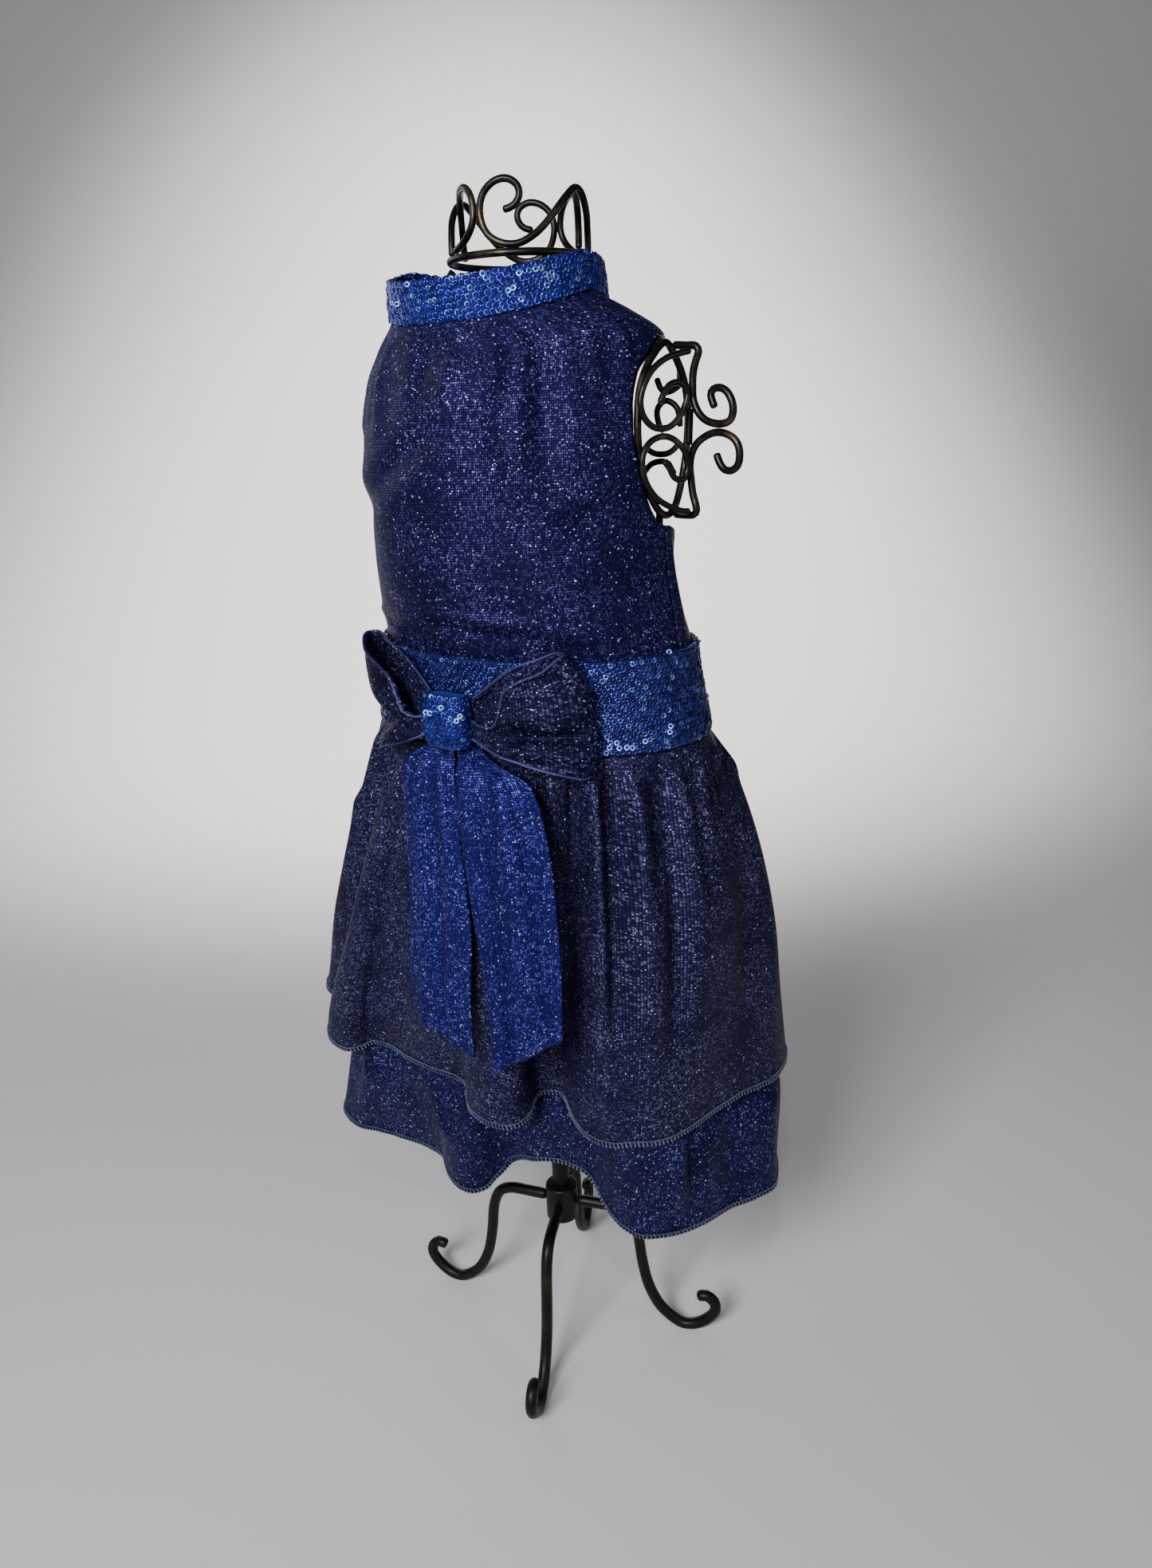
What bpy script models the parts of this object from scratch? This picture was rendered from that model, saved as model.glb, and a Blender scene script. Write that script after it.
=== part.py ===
"""Dog dress in glitter knit, worn by a limbless wire dress form on a scrolled four-legged stand.

The dress is eleven cloth pieces: bodice front and back, collar, belt, two skirt tiers and a bow in
five parts. The form is black iron wire. Tables and sizes are in millimetres and MM turns them into
metres. Angles go round the stand's axis in degrees, from the dress front (-Y) towards +X.
"""

import math

import bmesh
import bpy
from mathutils import Vector

MM = 0.001

CLOTH = 1.4
SEAM = 0.3
WIRE = 3.6
LEG_WIRE = 7.0
AXIS_X = 15.6
AXIS_Y = -3.2

BELT_BOTTOM = 401.0
BELT_TOP = 446.0
SHOULDER = 591.0
UNDERARM = 505.0
RING_HEIGHT = 628.0
RING_RADIUS = 34.0
HUB_HEIGHT = 85.0
HIP_HEIGHT = 330.0

# Sections of the bodice from belt to neck: heights at front, side and back, then half-width,
# front depth, back depth and the place of the widest point along Y.
BODICE_SECTIONS = [
    # front  side   back   half   front  back  middle
    (440.0, 440.0, 440.0, 90.0, 66.0, 58.0, 0.0),
    (448.0, 448.0, 448.0, 89.6, 66.6, 57.0, 0.0),
    (463.0, 463.0, 462.0, 87.0, 73.0, 48.0, 0.0),
    (485.0, 485.0, 480.0, 83.5, 79.0, 42.0, 0.0),
    (505.0, 505.0, 493.0, 83.0, 80.0, 40.0, 0.0),
    (530.0, 530.0, 524.0, 88.0, 79.0, 41.0, 0.0),
    (552.0, 552.0, 552.0, 87.5, 77.0, 43.0, 0.0),
    (572.0, 573.0, 574.0, 84.5, 70.8, 42.0, -1.0),
    (586.0, 591.0, 590.0, 79.5, 65.0, 39.0, -2.0),
    (592.5, 602.0, 599.0, 67.0, 65.0, 34.0, -11.0),
    (597.3, 610.2, 603.5, 54.4, 65.8, 29.0, -18.7),
]

# Front edge of an armhole: height and Y where the front panel ends.
ARMHOLE_FRONT = [
    (505.0, 0.0),
    (506.3, -5.0),
    (509.5, -9.5),
    (514.5, -14.2),
    (523.0, -19.8),
    (530.0, -23.0),
    (541.0, -25.6),
    (552.0, -26.2),
    (564.0, -24.6),
    (573.0, -21.0),
    (580.4, -14.8),
    (586.0, -7.5),
    (591.0, -2.0),
]

# Back edge of an armhole, where the narrow belly panel runs up between the legs: height and X.
ARMHOLE_BACK = [
    (505.0, 89.0),
    (506.5, 74.0),
    (509.5, 56.0),
    (516.0, 43.0),
    (530.0, 38.0),
    (558.0, 38.0),
    (574.0, 43.0),
    (584.0, 56.0),
    (589.0, 69.0),
    (591.0, 80.5),
]

COLLAR_SECTIONS = [
    # front  side   back   half   front  back  middle
    (597.8, 610.7, 604.0, 55.2, 66.4, 29.6, -18.7),
    (606.4, 618.0, 612.4, 54.6, 66.6, 29.0, -19.4),
    (615.2, 625.8, 621.0, 53.6, 66.4, 28.2, -20.2),
]

# The belt, which widens over the gathers of the skirt.
BELT_SECTIONS = [
    # height half  front  back
    (401.0, 100.0, 71.0, 67.0),
    (423.0, 96.2, 69.6, 63.8),
    (446.0, 93.2, 69.0, 61.0),
]
BELT_WALL = 2.0

# Hems of the two tiers, a row for each ridge, flank and valley of a fold. Hems, crown and legs are
# given round the stand's axis.
UPPER_HEM = [
    # angle radius height
    (-88, 156, 214),
    (-80, 151, 211),
    (-75, 129, 204),
    (-69, 148, 195),
    (-63, 146, 191),
    (-56, 116, 188),
    (-46, 90, 188),
    (-33, 73, 188),
    (-12, 68, 187),
    (3, 74, 187),
    (15, 77, 186),
    (24, 66, 187),
    (31, 50, 189),
    (42, 45, 190),
    (51, 60, 188),
    (59, 92, 186),
    (67, 103, 186),
    (76, 107, 187),
    (88, 108, 188),
    (101, 116, 190),
    (113, 133, 191),
    (124, 138, 192),
    (134, 120, 191),
    (145, 108, 190),
    (156, 84, 189),
    (167, 96, 190),
    (178, 84, 188),
    (190, 99, 189),
    (201, 84, 188),
    (213, 108, 191),
    (224, 100, 192),
    (235, 128, 196),
    (245, 122, 202),
    (256, 141, 210),
    (265, 134, 214),
]

LOWER_HEM = [
    (-86, 154, 130),
    (-74, 156, 123),
    (-63, 119, 124),
    (-51, 92, 124),
    (-39, 80, 121),
    (-25, 73, 119),
    (-12, 67, 118),
    (-1, 61, 121),
    (9, 49, 130),
    (22, 40, 142),
    (38, 38, 147),
    (50, 46, 143),
    (57, 66, 132),
    (62, 83, 121),
    (68, 90, 117),
    (77, 99, 115),
    (90, 112, 117),
    (104, 126, 120),
    (114, 133, 123),
    (126, 130, 124),
    (139, 98, 122),
    (151, 100, 119),
    (163, 78, 122),
    (176, 88, 119),
    (189, 76, 122),
    (202, 92, 119),
    (214, 86, 122),
    (226, 112, 120),
    (238, 108, 124),
    (252, 134, 126),
    (264, 128, 130),
]

SKIRT_HALF = 137.0
SKIRT_DEPTH = 86.0
FLARE_POWER = 2.8
GATHERS = 18
GATHER_DEPTH = 1.8

# The bow's loops, along a loop from knot to fold: share of its length, stand-off from the belt of
# the front and rear layers, and heights of their edges.
BOW_ANGLE = 2.75
LOOP_START = 7.5
LOOP_END_RIGHT = 45.5
LOOP_END_LEFT = 41.5
LOOP_SECTIONS = [
    # share front  rear  top_f  bottom_f top_r bottom_r
    (0.00, 5.6, 3.4, 425.0, 409.0, 426.5, 410.0),
    (0.18, 9.5, 3.0, 428.0, 406.0, 433.0, 408.0),
    (0.42, 14.5, 2.6, 435.5, 401.5, 441.0, 404.0),
    (0.68, 15.5, 2.6, 444.5, 397.5, 448.0, 400.0),
    (0.88, 12.5, 3.0, 450.0, 394.5, 451.5, 397.0),
    (0.97, 9.5, 4.4, 451.5, 393.5, 452.0, 395.0),
]
LOOP_FOLD = (1.0, 6.9, 451.5, 394.3)

# The bow's tails: height, angles of the two long edges and stand-off from the axis ellipse.
TAIL_LEFT = [
    # height left  right  out
    (403.6, -6.0, 4.0, 2.9),
    (396.0, -11.5, 6.5, 8.0),
    (380.0, -14.5, 8.3, 11.0),
    (361.0, -16.0, 9.0, 12.0),
    (307.0, -18.0, 9.5, 13.0),
    (262.0, -20.5, 9.0, 14.5),
]
TAIL_RIGHT = [
    (403.6, 4.6, 15.5, 2.9),
    (397.0, 9.5, 22.5, 9.0),
    (389.0, 9.0, 31.0, 12.0),
    (371.0, 10.0, 34.0, 12.5),
    (341.0, 12.0, 36.2, 12.5),
    (290.0, 15.8, 37.0, 13.5),
    (262.0, 15.8, 36.8, 14.0),
]
TAIL_LEFT_CUT = (250.0, 238.0)
TAIL_RIGHT_CUT = (231.0, 257.0)

# Wires of the crown: angle, radius and height of the points that each is bent through.
CROWN_WAVE = [
    (27.5, 32.75, 645.7),
    (33.5, 32.75, 646.6),
    (37.8, 32.75, 648.2),
    (41.0, 32.75, 651.8),
    (38.9, 32.75, 655.9),
    (30.8, 32.75, 658.4),
    (20.2, 32.75, 657.3),
    (11.0, 32.75, 653.0),
    (7.2, 32.75, 646.8),
    (9.2, 32.75, 640.1),
    (15.8, 32.75, 634.9),
    (27.5, 32.75, 631.8),
    (39.5, 32.75, 631.8),
    (51.3, 32.75, 635.1),
    (59.8, 32.75, 639.0),
    (69.6, 32.75, 644.6),
    (80.7, 32.75, 651.0),
    (93.5, 32.75, 656.0),
    (105.7, 32.75, 654.0),
    (118.8, 32.75, 647.2),
    (126.6, 32.75, 640.0),
    (130.5, 32.9, 630.9),
]
CROWN_LEAF = [
    (-29.0, 32.8, 631.6),
    (-16.0, 32.8, 633.4),
    (-6.0, 32.7, 637.4),
    (-0.6, 32.5, 642.6),
    (-0.4, 32.1, 648.2),
    (-4.2, 31.4, 653.6),
    (-14.0, 29.9, 657.4),
    (-30.0, 28.2, 658.0),
    (-46.0, 27.6, 655.8),
    (-61.0, 28.3, 651.0),
    (-72.0, 30.0, 644.6),
    (-79.5, 31.8, 637.4),
    (-83.5, 32.9, 630.5),
]

# Wires of a shoulder cap, for the +X side.
CAP_RING = [
    # x     y      height
    (83.0, 0.0, 586.4),
    (83.0, -10.7, 580.4),
    (83.0, -17.6, 572.9),
    (83.0, -21.6, 564.4),
    (83.0, -23.2, 553.0),
    (83.0, -22.6, 541.0),
    (83.0, -19.3, 529.3),
    (83.0, -13.7, 519.9),
    (83.0, -6.5, 512.4),
    (83.0, 1.0, 510.0),
    (83.0, 8.0, 514.4),
    (83.0, 14.4, 528.0),
    (83.0, 17.8, 541.0),
    (83.0, 19.0, 555.0),
    (83.0, 16.5, 568.0),
    (83.0, 9.5, 579.0),
]
CAP_SCROLL_UPPER = [
    # share across from ring to bar, height
    (0.89, 582.0),
    (0.757, 581.4),
    (0.46, 579.2),
    (0.207, 574.4),
    (0.048, 567.7),
    (-0.015, 560.9),
    (0.037, 554.9),
    (0.185, 550.6),
    (0.344, 549.4),
    (0.534, 550.4),
    (0.714, 555.1),
    (0.831, 562.0),
    (0.81, 566.4),
    (0.661, 568.9),
    (0.513, 567.9),
    (0.408, 564.5),
    (0.333, 560.2),
]
CAP_SCROLL_LOWER = [
    (0.87, 512.3),
    (0.746, 512.4),
    (0.524, 514.6),
    (0.259, 519.1),
    (0.08, 525.7),
    (0.006, 533.0),
    (0.027, 539.1),
    (0.164, 544.1),
    (0.386, 546.0),
    (0.598, 544.2),
    (0.788, 538.7),
    (0.841, 531.8),
    (0.788, 527.4),
    (0.693, 526.4),
    (0.577, 528.1),
    (0.492, 532.3),
    (0.397, 535.3),
]
# Scrolls of the rear panel, which reaches inwards from the ring's rear.
CAP_HOOK_UPPER = [
    (0.15, 581.3),
    (0.06, 575.9),
    (0.05, 572.3),
    (0.06, 568.2),
    (0.29, 565.3),
    (0.45, 566.8),
    (0.54, 571.8),
]
CAP_HOOK_MIDDLE = [
    (0.05, 549.4),
    (0.06, 554.0),
    (0.13, 558.7),
    (0.34, 561.5),
    (0.50, 559.0),
    (0.54, 555.3),
    (0.48, 549.7),
    (0.39, 547.4),
]
CAP_HOOK_LOWER = [
    (0.80, 540.2),
    (0.60, 537.4),
    (0.35, 537.2),
    (0.17, 539.4),
    (0.05, 543.0),
]
CAP_HOOK_BOTTOM = [
    (0.83, 528.6),
    (0.69, 532.3),
    (0.49, 533.7),
    (0.32, 533.0),
    (0.24, 530.3),
    (0.17, 527.4),
]
CAP_FRONT_PANEL = ((86.3, -24.9), (97.5, 3.0))
CAP_REAR_PANEL = ((81.0, 17.2), (58.0, 12.0))
CAP_BAR_Y = 3.0
CAP_BAR = [(94.0, 557.5), (93.7, 549.5), (93.4, 541.5)]
CAP_CURL_UPPER = [
    # x      height
    (85.4, 585.2),
    (92.0, 584.6),
    (97.0, 584.2),
    (98.7, 581.6),
    (97.1, 577.5),
    (95.8, 572.4),
    (95.6, 566.3),
    (96.0, 561.1),
    (98.5, 555.9),
    (102.2, 552.5),
    (107.1, 550.8),
    (111.8, 550.7),
    (115.4, 552.2),
    (116.7, 556.1),
    (115.9, 560.4),
    (113.2, 564.4),
    (109.6, 566.0),
    (106.2, 565.3),
    (105.2, 562.6),
    (107.3, 557.4),
]
CAP_CURL_LOWER = [
    (85.4, 510.2),
    (92.0, 509.9),
    (96.6, 510.4),
    (97.6, 513.2),
    (95.7, 519.7),
    (94.6, 527.1),
    (94.1, 532.5),
    (95.2, 538.0),
    (97.9, 542.2),
    (102.3, 545.2),
    (107.1, 546.8),
    (111.8, 546.6),
    (116.6, 544.6),
    (119.4, 541.3),
    (120.3, 536.9),
    (119.3, 532.5),
    (116.2, 530.3),
    (112.5, 530.7),
    (109.8, 533.9),
    (108.2, 537.9),
]

LEG_ANGLES = (26.2, 113.0, 208.0, 286.0)
LEG_PROFILE = [
    # radius height
    (10.4, 85.5),
    (24.0, 85.2),
    (36.0, 84.2),
    (44.0, 79.0),
    (48.6, 67.0),
    (51.0, 48.0),
    (55.0, 29.0),
    (62.5, 13.5),
    (73.5, 3.9),
    (81.0, 2.5),
    (89.0, 5.8),
    (96.6, 13.6),
    (97.6, 21.0),
    (92.6, 26.4),
    (86.4, 25.2),
]

POST_DIAMETER = 11.0
HUB_DIAMETER = 20.0
HUB_TALL = 24.0


def clear_scene():
    for thing in list(bpy.data.objects):
        bpy.data.objects.remove(thing, do_unlink=True)


def finish(name, colour, roughness, metallic=0.0):
    """A Principled material for one kind of surface."""
    material = bpy.data.materials.new(name)
    material.use_nodes = True
    shader = material.node_tree.nodes["Principled BSDF"]
    shader.inputs["Base Color"].default_value = (*colour, 1.0)
    shader.inputs["Roughness"].default_value = roughness
    shader.inputs["Metallic"].default_value = metallic
    return material


def place(name, data, material):
    """Puts a mesh or curve into the scene under the stand's axis."""
    thing = bpy.data.objects.new(name, data)
    data.materials.append(material)
    bpy.context.collection.objects.link(thing)
    thing.parent = AXIS
    return thing


def around(angle, half, front, back, middle=0.0):
    """Point of a garment section: one half-ellipse in front of its widest point, one behind."""
    turn = math.radians(angle)
    depth = front + middle if math.cos(turn) > 0 else back - middle
    return half * math.sin(turn), middle - depth * math.cos(turn)


def spline_at(rows, place_on, closed=False):
    """Catmull-Rom value between table rows; place_on counts rows from 0."""
    count = len(rows)
    index = math.floor(place_on)
    share = place_on - index

    def row(number):
        if closed:
            return rows[number % count]
        return rows[max(0, min(count - 1, number))]

    before, start, end, after = (row(index + k) for k in (-1, 0, 1, 2))
    return tuple(
        0.5 * (2 * b + (c - a) * share + (2 * a - 5 * b + 4 * c - d) * share**2
               + (3 * b - a - 3 * c + d) * share**3)
        for a, b, c, d in zip(before, start, end, after)
    )


def table_at(rows, key, column=0, period=None):
    """Row interpolated where its column meets key, with smooth ends; period closes the table."""
    if period:
        key = (key - rows[0][column]) % period + rows[0][column]

        def moved(row, by):
            return tuple(v + (by if i == column else 0.0) for i, v in enumerate(row))

        ends = [moved(rows[0], period), moved(rows[1], period)]
        table = [moved(rows[-1], -period)] + list(rows) + ends
    else:
        table = [rows[0]] + list(rows) + [rows[-1]]
    for index in range(1, len(table) - 2):
        if table[index][column] <= key <= table[index + 1][column]:
            break
    start, end = table[index], table[index + 1]
    width = end[column] - start[column]
    share = (key - start[column]) / width
    result = []
    for i, (low, high) in enumerate(zip(start, end)):
        slopes = []
        for left, mid, right in ((table[index - 1], start, end), (start, end, table[index + 2])):
            span = right[column] - left[column]
            rise_a = (mid[i] - left[i]) / ((mid[column] - left[column]) or 1.0)
            rise_b = (right[i] - mid[i]) / ((right[column] - mid[column]) or 1.0)
            steady = rise_a * rise_b > 0 and span
            slopes.append(2 * rise_a * rise_b / (rise_a + rise_b) if steady else 0.0)
        a, b = slopes[0] * width, slopes[1] * width
        cube, square = share**3, share**2
        result.append((2 * cube - 3 * square + 1) * low + (cube - 2 * square + share) * a
                      + (3 * square - 2 * cube) * high + (cube - square) * b)
    return tuple(result)


def cloth(name, rows, material, wall=CLOTH, closed=True):
    """A cloth wall whose outer face goes through rows of points, bottom row first."""
    mesh = bpy.data.meshes.new(name)
    net = bmesh.new()
    grid = [[net.verts.new(Vector(p) * MM) for p in row] for row in rows]
    across = len(grid[0])
    for low, high in zip(grid, grid[1:]):
        for j in range(across if closed else across - 1):
            k = (j + 1) % across
            net.faces.new((low[j], low[k], high[k], high[j]))
    net.to_mesh(mesh)
    net.free()
    mesh.shade_smooth()
    panel = place(name, mesh, material)
    solid = panel.modifiers.new("wall", "SOLIDIFY")
    solid.thickness = wall * MM
    solid.offset = -1.0
    solid.use_even_offset = True
    return panel


def wire(name, points, material, diameter=WIRE, closed=False, resolution=1):
    """A round wire along points already in place, with flat ends."""
    curve = bpy.data.curves.new(name, "CURVE")
    curve.dimensions = "3D"
    curve.bevel_depth = diameter / 2 * MM
    curve.bevel_resolution = resolution
    curve.use_fill_caps = not closed
    spline = curve.splines.new("POLY")
    spline.points.add(len(points) - 1)
    spline.use_cyclic_u = closed
    for knot, point in zip(spline.points, points):
        knot.co = (*(Vector(point) * MM), 1.0)
    return place(name, curve, material)


def bent(rows, spacing, closed=False):
    """Evenly spaced points along a smooth curve through rows."""
    steps = 12
    legs = len(rows) if closed else len(rows) - 1
    fine = [Vector(spline_at(rows, i / steps, closed)) for i in range(legs * steps)]
    if not closed:
        fine.append(Vector(rows[-1]))
    loop = fine + [fine[0]] if closed else fine
    lengths = [0.0]
    for a, b in zip(loop, loop[1:]):
        lengths.append(lengths[-1] + (b - a).length)
    pieces = max(2, round(lengths[-1] / spacing))
    points = []
    at = 0
    for number in range(pieces if closed else pieces + 1):
        target = lengths[-1] * number / pieces
        while at < len(loop) - 2 and lengths[at + 1] < target:
            at += 1
        span = lengths[at + 1] - lengths[at]
        points.append(loop[at].lerp(loop[at + 1], (target - lengths[at]) / span))
    return points


def on_axis(angle, radius, height):
    turn = math.radians(angle)
    return (radius * math.sin(turn), -radius * math.cos(turn), height)


def section_point(sections, level, angle):
    """Point at an angle round a garment whose sections are read at a level, 0 at the first row."""
    front, side, back, half, fore, aft, middle = spline_at(sections, level)
    x, y = around(angle, half, fore, aft, middle)
    lean = math.cos(math.radians(angle))
    height = side + (front - side) * lean if lean > 0 else side - (back - side) * lean
    return (x, y, height)


def level_at(side_height):
    """Where along BODICE_SECTIONS the side reaches a height."""
    low, high = 0.0, len(BODICE_SECTIONS) - 1.0
    for _ in range(40):
        middle = (low + high) / 2
        if spline_at(BODICE_SECTIONS, middle)[1] < side_height:
            low = middle
        else:
            high = middle
    return (low + high) / 2


def bodice_heights():
    """Side heights of the rows that both panels share."""
    lower = [440.0, 448.0, 460.0, 475.0, 490.0]
    armhole = [505.0, 506.5, 509.5, 515.0, 523.0, 535.0, 550.0, 564.0, 575.0, 584.0, 589.0, 591.0]
    upper = [597.0, 603.5, 610.2]
    return lower + armhole + upper


SEAM_ANGLE = math.degrees((SEAM + 1.4) / 2 / 85.0)


def front_edge(height, level):
    """Angle where the front panel ends at the side."""
    if UNDERARM < height < SHOULDER:
        y = table_at(ARMHOLE_FRONT, height)[1]
        row = spline_at(BODICE_SECTIONS, level)
        share = max(-1.0, min(1.0, (row[6] - y) / (row[4] + row[6])))
        return min(90.0 - SEAM_ANGLE, math.degrees(math.acos(share)))
    return 90.0 - SEAM_ANGLE


def back_edge(height, level):
    if UNDERARM < height < SHOULDER:
        x = table_at(ARMHOLE_BACK, height)[1]
        row = spline_at(BODICE_SECTIONS, level)
        share = max(-1.0, min(1.0, x / row[3]))
        return max(90.0 + SEAM_ANGLE, 180.0 - math.degrees(math.asin(share)))
    return 90.0 + SEAM_ANGLE


def bodice_front(material):
    rows = []
    columns = 18
    for height in bodice_heights():
        level = level_at(height)
        edge = front_edge(height, level)
        angles = [-edge + 2 * edge * j / columns for j in range(columns + 1)]
        rows.append([section_point(BODICE_SECTIONS, level, a) for a in angles])
    return cloth("bodice_front", rows, material, closed=False)


def bodice_back(material):
    rows = []
    columns = 16
    for height in bodice_heights():
        level = level_at(height)
        edge = back_edge(height, level)
        angles = [edge + 2 * (180.0 - edge) * j / columns for j in range(columns + 1)]
        rows.append([section_point(BODICE_SECTIONS, level, a) for a in angles])
    return cloth("bodice_back", rows, material, closed=False)


def collar(material):
    columns = 44
    levels = (0.0, 1.0, 2.0)
    rows = [
        [section_point(COLLAR_SECTIONS, level, 360.0 * j / columns) for j in range(columns)]
        for level in levels
    ]
    return cloth("collar", rows, material, wall=2.0)


def belt_point(angle, out, height):
    _, half, front, back = table_at(BELT_SECTIONS, max(BELT_BOTTOM, min(BELT_TOP, height)))
    x, y = around(angle, half + out, front + out, back + out)
    return (x, y, height)


def belt(material):
    columns = 52
    rows = [
        [belt_point(360.0 * j / columns, 0.0, height) for j in range(columns)]
        for height, _, _, _ in BELT_SECTIONS
    ]
    return cloth("belt", rows, material, wall=BELT_WALL)


def hem_at(table, angle):
    """Radius and height of a tier's hem at an angle."""
    return table_at(table, angle, period=360.0)[1:]


def ellipse_radius(angle, half, depth):
    turn = math.radians(angle)
    return 1.0 / math.hypot(math.sin(turn) / half, math.cos(turn) / depth)


def waist_radius(angle, inset):
    turn = math.radians(angle)
    _, half, front, back = BELT_SECTIONS[0]
    depth = front if math.cos(turn) > 0 else back
    return ellipse_radius(angle, half - inset, depth - inset)


def tier_radius(table, angle, drop, inset):
    """Outer radius of a tier; drop is the share of its length below the belt."""
    hem = hem_at(table, angle)[0]
    waist = waist_radius(angle, inset)
    mean = ellipse_radius(angle, SKIRT_HALF, SKIRT_DEPTH)
    flare = 1 - (1 - drop) ** FLARE_POWER
    gather = GATHER_DEPTH * math.sin(math.radians(angle) * GATHERS) * math.sin(math.pi * drop ** 0.5)
    return waist + (mean - waist) * flare + (hem - mean) * drop ** 0.9 + gather * (1 - drop) ** 2


UPPER_INSET = 0.8
LOWER_INSET = 3.0
TIER_GAP = 3.7


WAIST_HEIGHT = BELT_BOTTOM - 2 * SEAM
SKIRT_COLUMNS = 72
UPPER_DROPS = (0.0, 0.06, 0.15, 0.28, 0.46, 0.7, 1.0)
LOWER_DROPS = (0.0, 0.1, 0.26, 0.48, 0.66, 0.82, 1.0)


def tier_rows(table, drops, inset):
    """Radius and height of a tier at each row and column, waist first."""
    rows = []
    for drop in drops:
        row = []
        for j in range(SKIRT_COLUMNS):
            angle = 360.0 * j / SKIRT_COLUMNS
            hem = hem_at(table, angle)[1]
            height = WAIST_HEIGHT - drop * (WAIST_HEIGHT - hem)
            row.append((tier_radius(table, angle, drop, inset), height))
        rows.append(row)
    return rows


def radius_in(rows, column, height):
    """Radius of a tier's straight-sided net at a height; below its hem it keeps the hem's."""
    line = [row[column % SKIRT_COLUMNS] for row in rows]
    for (radius, top), (wider, low) in zip(line, line[1:]):
        if height >= low:
            return radius + (wider - radius) * (top - height) / (top - low)
    return line[-1][0]


def upper_radius_at(angle, height):
    """Outer radius of the upper tier at any angle."""
    place_on = angle * SKIRT_COLUMNS / 360.0
    column = math.floor(place_on)
    share = place_on - column
    start, end = (radius_in(UPPER_ROWS, column + k, height) for k in (0, 1))
    return start + (end - start) * share


def skirt(name, rows, material):
    angles = [360.0 * j / SKIRT_COLUMNS for j in range(SKIRT_COLUMNS)]
    points = [
        [on_axis(angle, radius, height) for angle, (radius, height) in zip(angles, row)]
        for row in reversed(rows)
    ]
    return cloth(name, points, material)


def under_tier(rows):
    """The lower tier's rows, held inside the upper tier with room for its cloth."""
    held = []
    for drop, row in zip(LOWER_DROPS, rows):
        room = LOWER_INSET - UPPER_INSET + TIER_GAP * min(1.0, drop * 8)
        line = []
        for j, (radius, height) in enumerate(row):
            below_hem = max(0.0, UPPER_ROWS[-1][j][1] - height)
            limit = radius_in(UPPER_ROWS, j, height) - room + 0.25 * below_hem
            line.append((min(radius, limit), height))
        held.append(line)
    return held


UPPER_ROWS = tier_rows(UPPER_HEM, UPPER_DROPS, UPPER_INSET)


def loop_ring(side, share_high):
    """One horizontal line round a bow loop, share_high of the way from lower to upper edge."""
    end = LOOP_END_RIGHT if side > 0 else LOOP_END_LEFT

    def at(row, out, top, bottom):
        angle = BOW_ANGLE + side * (LOOP_START + (end - LOOP_START) * row[0])
        return belt_point(angle, out, bottom + (top - bottom) * share_high)

    front = [at(row, row[1], row[3], row[4]) for row in LOOP_SECTIONS]
    rear = [at(row, row[2], row[5], row[6]) for row in reversed(LOOP_SECTIONS)]
    share, out, top, bottom = LOOP_FOLD
    tip = at((share,), out, top, bottom)
    ring = front + [tip] + rear
    return [spline_at(ring, (len(ring) - 1) * k / 18) for k in range(19)]


def bow_loop(name, side, material):
    rows = [loop_ring(side, high) for high in (0.0, 0.2, 0.4, 0.6, 0.8, 1.0)]
    if side < 0:
        rows = [list(reversed(row)) for row in rows]
    return cloth(name, rows, material, wall=1.2, closed=False)


def bow_knot(material):
    """The sequin band round the middle of the bow, a short upright tube flattened to the belt."""
    columns = 16
    rows = []
    for height, wide, deep in ((404.4, 12.4, 5.2), (410.0, 13.2, 6.4), (417.0, 13.6, 6.9),
                               (424.0, 13.2, 6.4), (429.6, 12.4, 5.2)):
        centre_y = -71.0 - SEAM - 5.6
        row = []
        for j in range(columns):
            turn = math.tau * j / columns
            x = 5.0 + wide * math.copysign(abs(math.sin(turn)) ** 0.6, math.sin(turn))
            y = centre_y - deep * math.copysign(abs(math.cos(turn)) ** 0.8, math.cos(turn))
            row.append((x, y, height))
        rows.append(row)
    return cloth("bow_knot", rows, material, wall=1.6)


def tail_radius(angle, height, out):
    """Distance of a tail from the axis: its own hang, or just off the skirt where that bulges."""
    _, half, front, _ = BELT_SECTIONS[0]
    hang = ellipse_radius(angle, half + out, front + out)
    if height > BELT_BOTTOM - 6.0:
        return hang
    return max(hang, upper_radius_at(angle, height) + CLOTH + 1.0)


def bow_tail(name, table, cut, material):
    columns = 6
    rows = []
    heights = [row[0] for row in table]
    for height, left, right, out in table[::-1]:
        row = []
        for j in range(columns + 1):
            share = j / columns
            angle = left + (right - left) * share
            low = height
            if height == heights[-1]:
                low = cut[0] + (cut[1] - cut[0]) * share
            row.append(on_axis(angle, tail_radius(angle, low, out), low))
        rows.append(row)
    return cloth(name, rows, material, wall=1.2, closed=False)


def neck_ring(material):
    points = [on_axis(360.0 * k / 34, RING_RADIUS, RING_HEIGHT) for k in range(34)]
    wire("neck_ring", points, material, closed=True)


def crown(material):
    for half, name in ((0.0, "front"), (180.0, "back")):
        for kind, table, spacing in (("wave", CROWN_WAVE, 4.6), ("leaf", CROWN_LEAF, 4.6)):
            rows = [on_axis(angle + half, radius, height) for angle, radius, height in table]
            wire(f"crown_{kind}_{name}", bent(rows, spacing), material)


def cap_scroll(table, side, panel):
    """Points of a scroll that lies in an upright plane between two places near the cap's ring."""
    (start_x, start_y), (end_x, end_y) = panel
    rows = []
    for share, height in table:
        x = start_x + (end_x - start_x) * share
        y = start_y + (end_y - start_y) * share
        rows.append((side * x, y, height))
    return rows


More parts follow.
